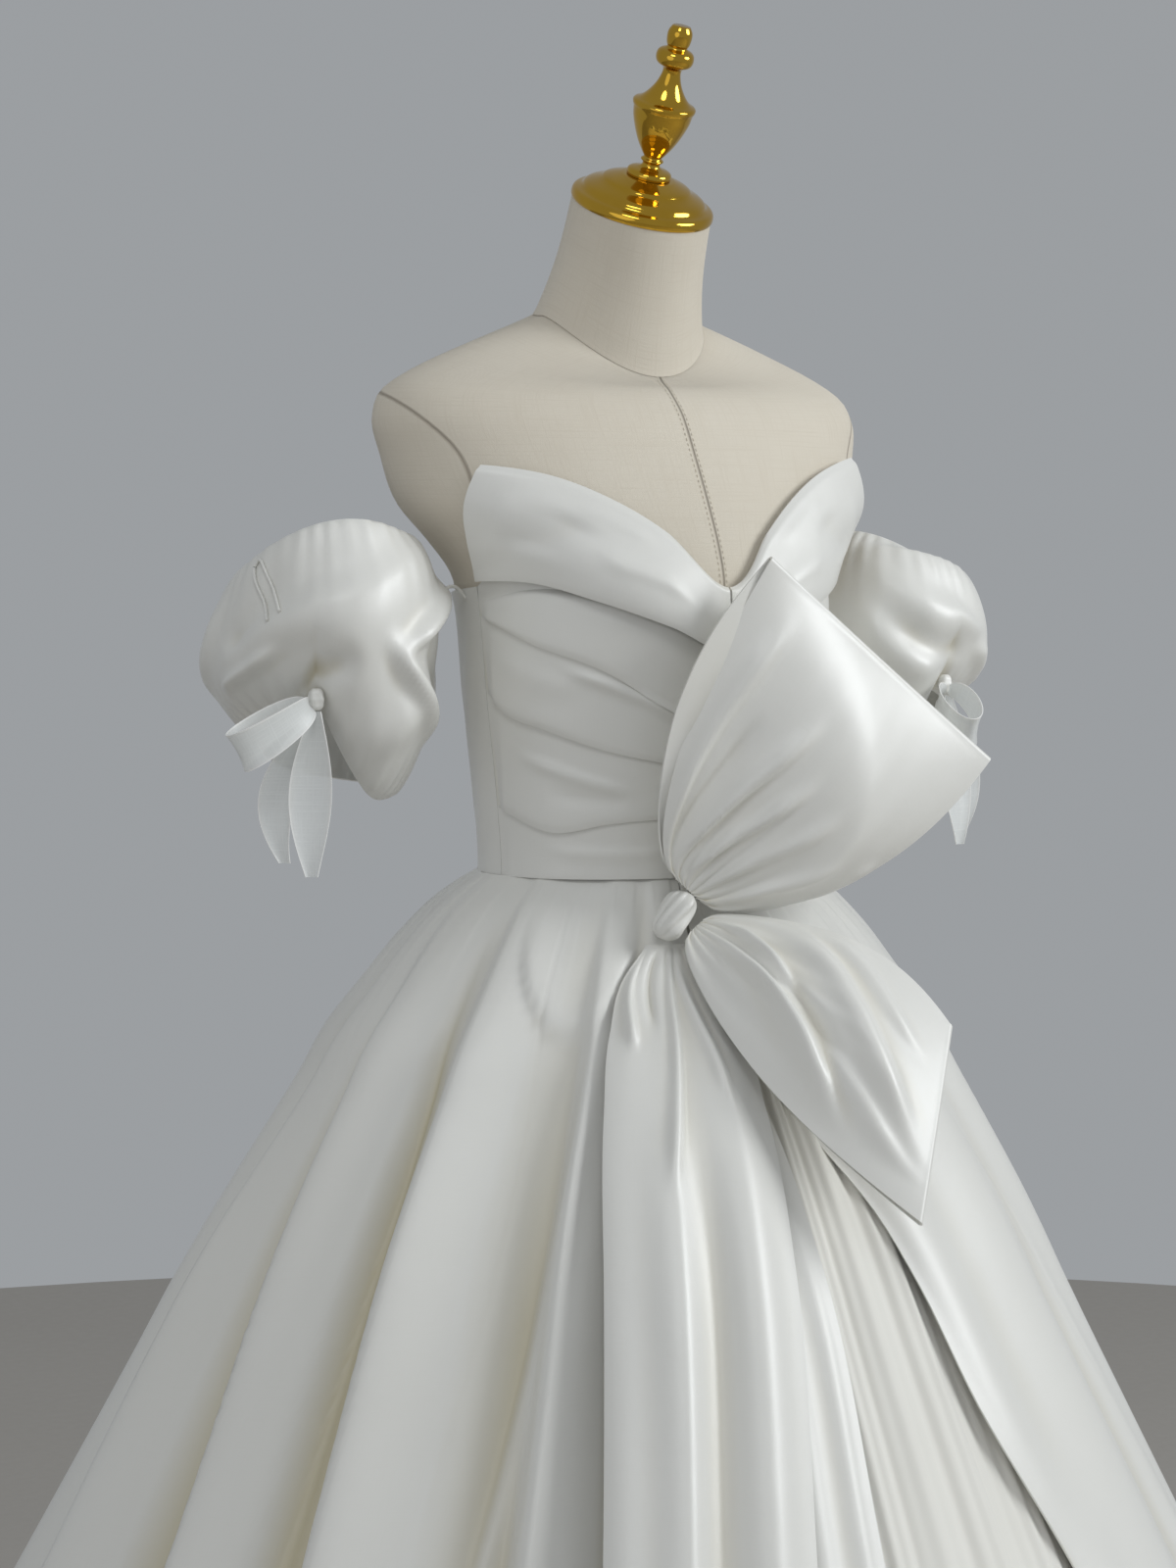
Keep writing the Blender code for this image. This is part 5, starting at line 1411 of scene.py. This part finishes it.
def makeHook(word, side, sleevePoints, values):
    # from the top of the side seam to the sleeve's nearest point
    radius = values["hookRadius"]
    start = onBodice(values["hookAzimuth"], values["hookHeight"], garment["skinGap"] + values["hookStand"])
    nearest = sleevePoints[np.argmin(np.linalg.norm(sleevePoints - start, axis=1))]
    heading = (nearest - start) / np.linalg.norm(nearest - start)
    end = nearest - heading * radius
    step = np.linspace(0.0, 1.0, values["hookPoints"])[:, None]
    path = start + (end - start) * step + np.array([0.0, 0.0, values["hookSag"]]) * np.sin(math.pi * step)
    hook = cordAlong("sleeveHook" + word, path * np.array([side, 1.0, 1.0]), radius, satin)
    finishPiece(hook, "satin", "sleeve_hook_" + word.lower())


# The loop of cord that lies on the right puff: turn from the tie in degrees and share down
cordPath = columnsOf(
    "along away share",
    (0, 22, 0.41), (1, 29, 0.315), (2, 35.5, 0.225), (3, 35.5, 0.195), (4, 31.5, 0.195), (5, 23.5, 0.29),
    (6, 16, 0.385),
)


def makeCordLoop(surface, values):
    step = np.linspace(0.0, cordPath["along"][-1], values["loopPoints"])
    column = read(cordPath, "away", step) / 360.0 * surface.shape[0]
    row = read(cordPath, "share", step) * (surface.shape[1] - 1)
    i, j = column.astype(int), row.astype(int)
    u, v = (column - i)[:, None], (row - j)[:, None]
    path = (surface[i, j] * (1 - u) + surface[i + 1, j] * u) * (1 - v)
    path = path + (surface[i, j + 1] * (1 - u) + surface[i + 1, j + 1] * u) * v
    outward = path - surface.mean(axis=(0, 1))
    outward /= np.linalg.norm(outward, axis=1, keepdims=True)
    loop = cordAlong("sleeveCordLoop", path + outward * values["loopStand"], values["loopRadius"], satin)
    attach(loop, "root")


def makeSleeve(word, values):
    grid = sleeveGrid(sleeveValues, values["tied"], values["puffOver"], sleeveCreases[word])
    mirror = np.array([values["side"], 1.0, 1.0])
    surface = grid * mirror
    middle = np.array(sleeveValues["centre"]) * mirror
    sleeve = clothShell("sleeve" + word, surface, sleeveValues["wall"], satin, wrap=True, heart=middle)
    finishPiece(sleeve, "satin", "sleeve_" + word.lower())
    makeHook(word, values["side"], grid.reshape(-1, 3), cordValues)
    if word == "Right":
        makeCordLoop(surface, cordValues)
    makeTie(word, values)


print("sleeves and ribbons")
for word, values in tieValues.items():
    makeSleeve(word, values)

# Stage, light and camera
stageValues = {
    "floorRadius": 3.40, "floorSides": 128, "floorLow": -0.02, "floorTop": -0.0005,
    "floorColour": (0.46, 0.43, 0.39, 1), "floorRoughness": (0.55, 0.68),
    "worldColour": (0.330, 0.345, 0.360, 1), "worldStrength": 1.0,
}
lightTarget = (0.0, 0.0, 0.95)
lightValues = (
    {"name": "keyLight", "place": (2.3, -2.0, 2.5), "size": 1.6, "power": 62.0, "colour": (0.95, 0.98, 1.0)},
    {"name": "fillLight", "place": (-2.6, -1.8, 1.5), "size": 2.4, "power": 8.5, "colour": (0.97, 0.98, 1.0)},
    {"name": "topLight", "place": (-1.0, -1.6, 3.0), "size": 0.9, "power": 9.0, "colour": (0.96, 0.985, 1.0)},
)
cameraValues = {
    "azimuth": -30.0, "distance": 2.4, "height": 1.28, "focalPixels": 3360.0, "axisPixel": 649.0,
    "horizonPixel": 559.0, "imageWidth": 1200.0, "imageHeight": 1600.0, "sensor": 36.0,
}


def makeStage(values):
    finish, tree, shader, where = newMaterial("paleFloor", 0.6)
    cloud = noiseOn(tree, where["Object"], 1.4, 4.0)
    grain = noiseOn(tree, where["Object"], 60.0, 3.0)
    darker = tuple(0.93 * part for part in values["floorColour"][:3]) + (1,)
    plug(tree, shader["Base Color"], blendOn(tree, cloud, values["floorColour"], darker))
    plug(tree, shader["Roughness"], rangeOn(tree, grain, 0.3, 0.7, *values["floorRoughness"]))
    circle = leaningRing(values["floorSides"], 0.0)[0] * values["floorRadius"]
    rings = [circle + np.array([0.0, 0.0, values[level]]) for level in ("floorLow", "floorTop")]
    ringPiece("studioFloor", rings, finish)
    world = bpy.data.worlds.new("studioWorld")
    world.use_nodes = True
    backdrop = world.node_tree.nodes["Background"].inputs
    backdrop["Color"].default_value = values["worldColour"]
    backdrop["Strength"].default_value = values["worldStrength"]
    scene.world = world


def placeLooking(made, place, sideways, top, ahead):
    # puts an object at a place, looking ahead
    turned = np.stack([sideways, top, -np.array(ahead)], 1)
    rows = [[*row, offset] for row, offset in zip(turned, place)]
    made.matrix_world = Matrix(rows + [[0, 0, 0, 1]])
    scene.collection.objects.link(made)


def makeLights(rows):
    for values in rows:
        light = bpy.data.lights.new(values["name"], "AREA")
        light.shape = "DISK"
        light.size = values["size"]
        light.energy = values["power"]
        light.color = values["colour"]
        place = np.array(values["place"])
        ahead = np.array(lightTarget) - place
        ahead = ahead / np.linalg.norm(ahead)
        sideways = np.cross(ahead, (0, 0, 1.0))
        sideways = sideways / np.linalg.norm(sideways)
        lamp = bpy.data.objects.new(values["name"], light)
        placeLooking(lamp, place, sideways, np.cross(sideways, ahead), ahead)


def makeCamera(values):
    turn = math.radians(values["azimuth"])
    right = np.array([math.cos(turn), math.sin(turn), 0.0])
    back = np.array([math.sin(turn), -math.cos(turn), 0.0])
    up = np.array([0.0, 0.0, 1.0])
    place = back * values["distance"] + up * values["height"]
    swing = math.atan((values["axisPixel"] - values["imageWidth"] / 2) / values["focalPixels"])
    tilt = math.atan((values["imageHeight"] / 2 - values["horizonPixel"]) / values["focalPixels"])
    level = -back * math.cos(swing) - right * math.sin(swing)
    sideways = np.cross(level, up)
    sideways = sideways / np.linalg.norm(sideways)
    ahead = level * math.cos(tilt) - up * math.sin(tilt)
    lens = bpy.data.cameras.new("photoCamera")
    lens.sensor_width = values["sensor"]
    lens.lens = values["focalPixels"] / values["imageHeight"] * values["sensor"]
    camera = bpy.data.objects.new("photoCamera", lens)
    placeLooking(camera, place, sideways, np.cross(sideways, ahead), ahead)
    scene.camera = camera


print("stage, light and camera")
makeStage(stageValues)
makeLights(lightValues)
makeCamera(cameraValues)
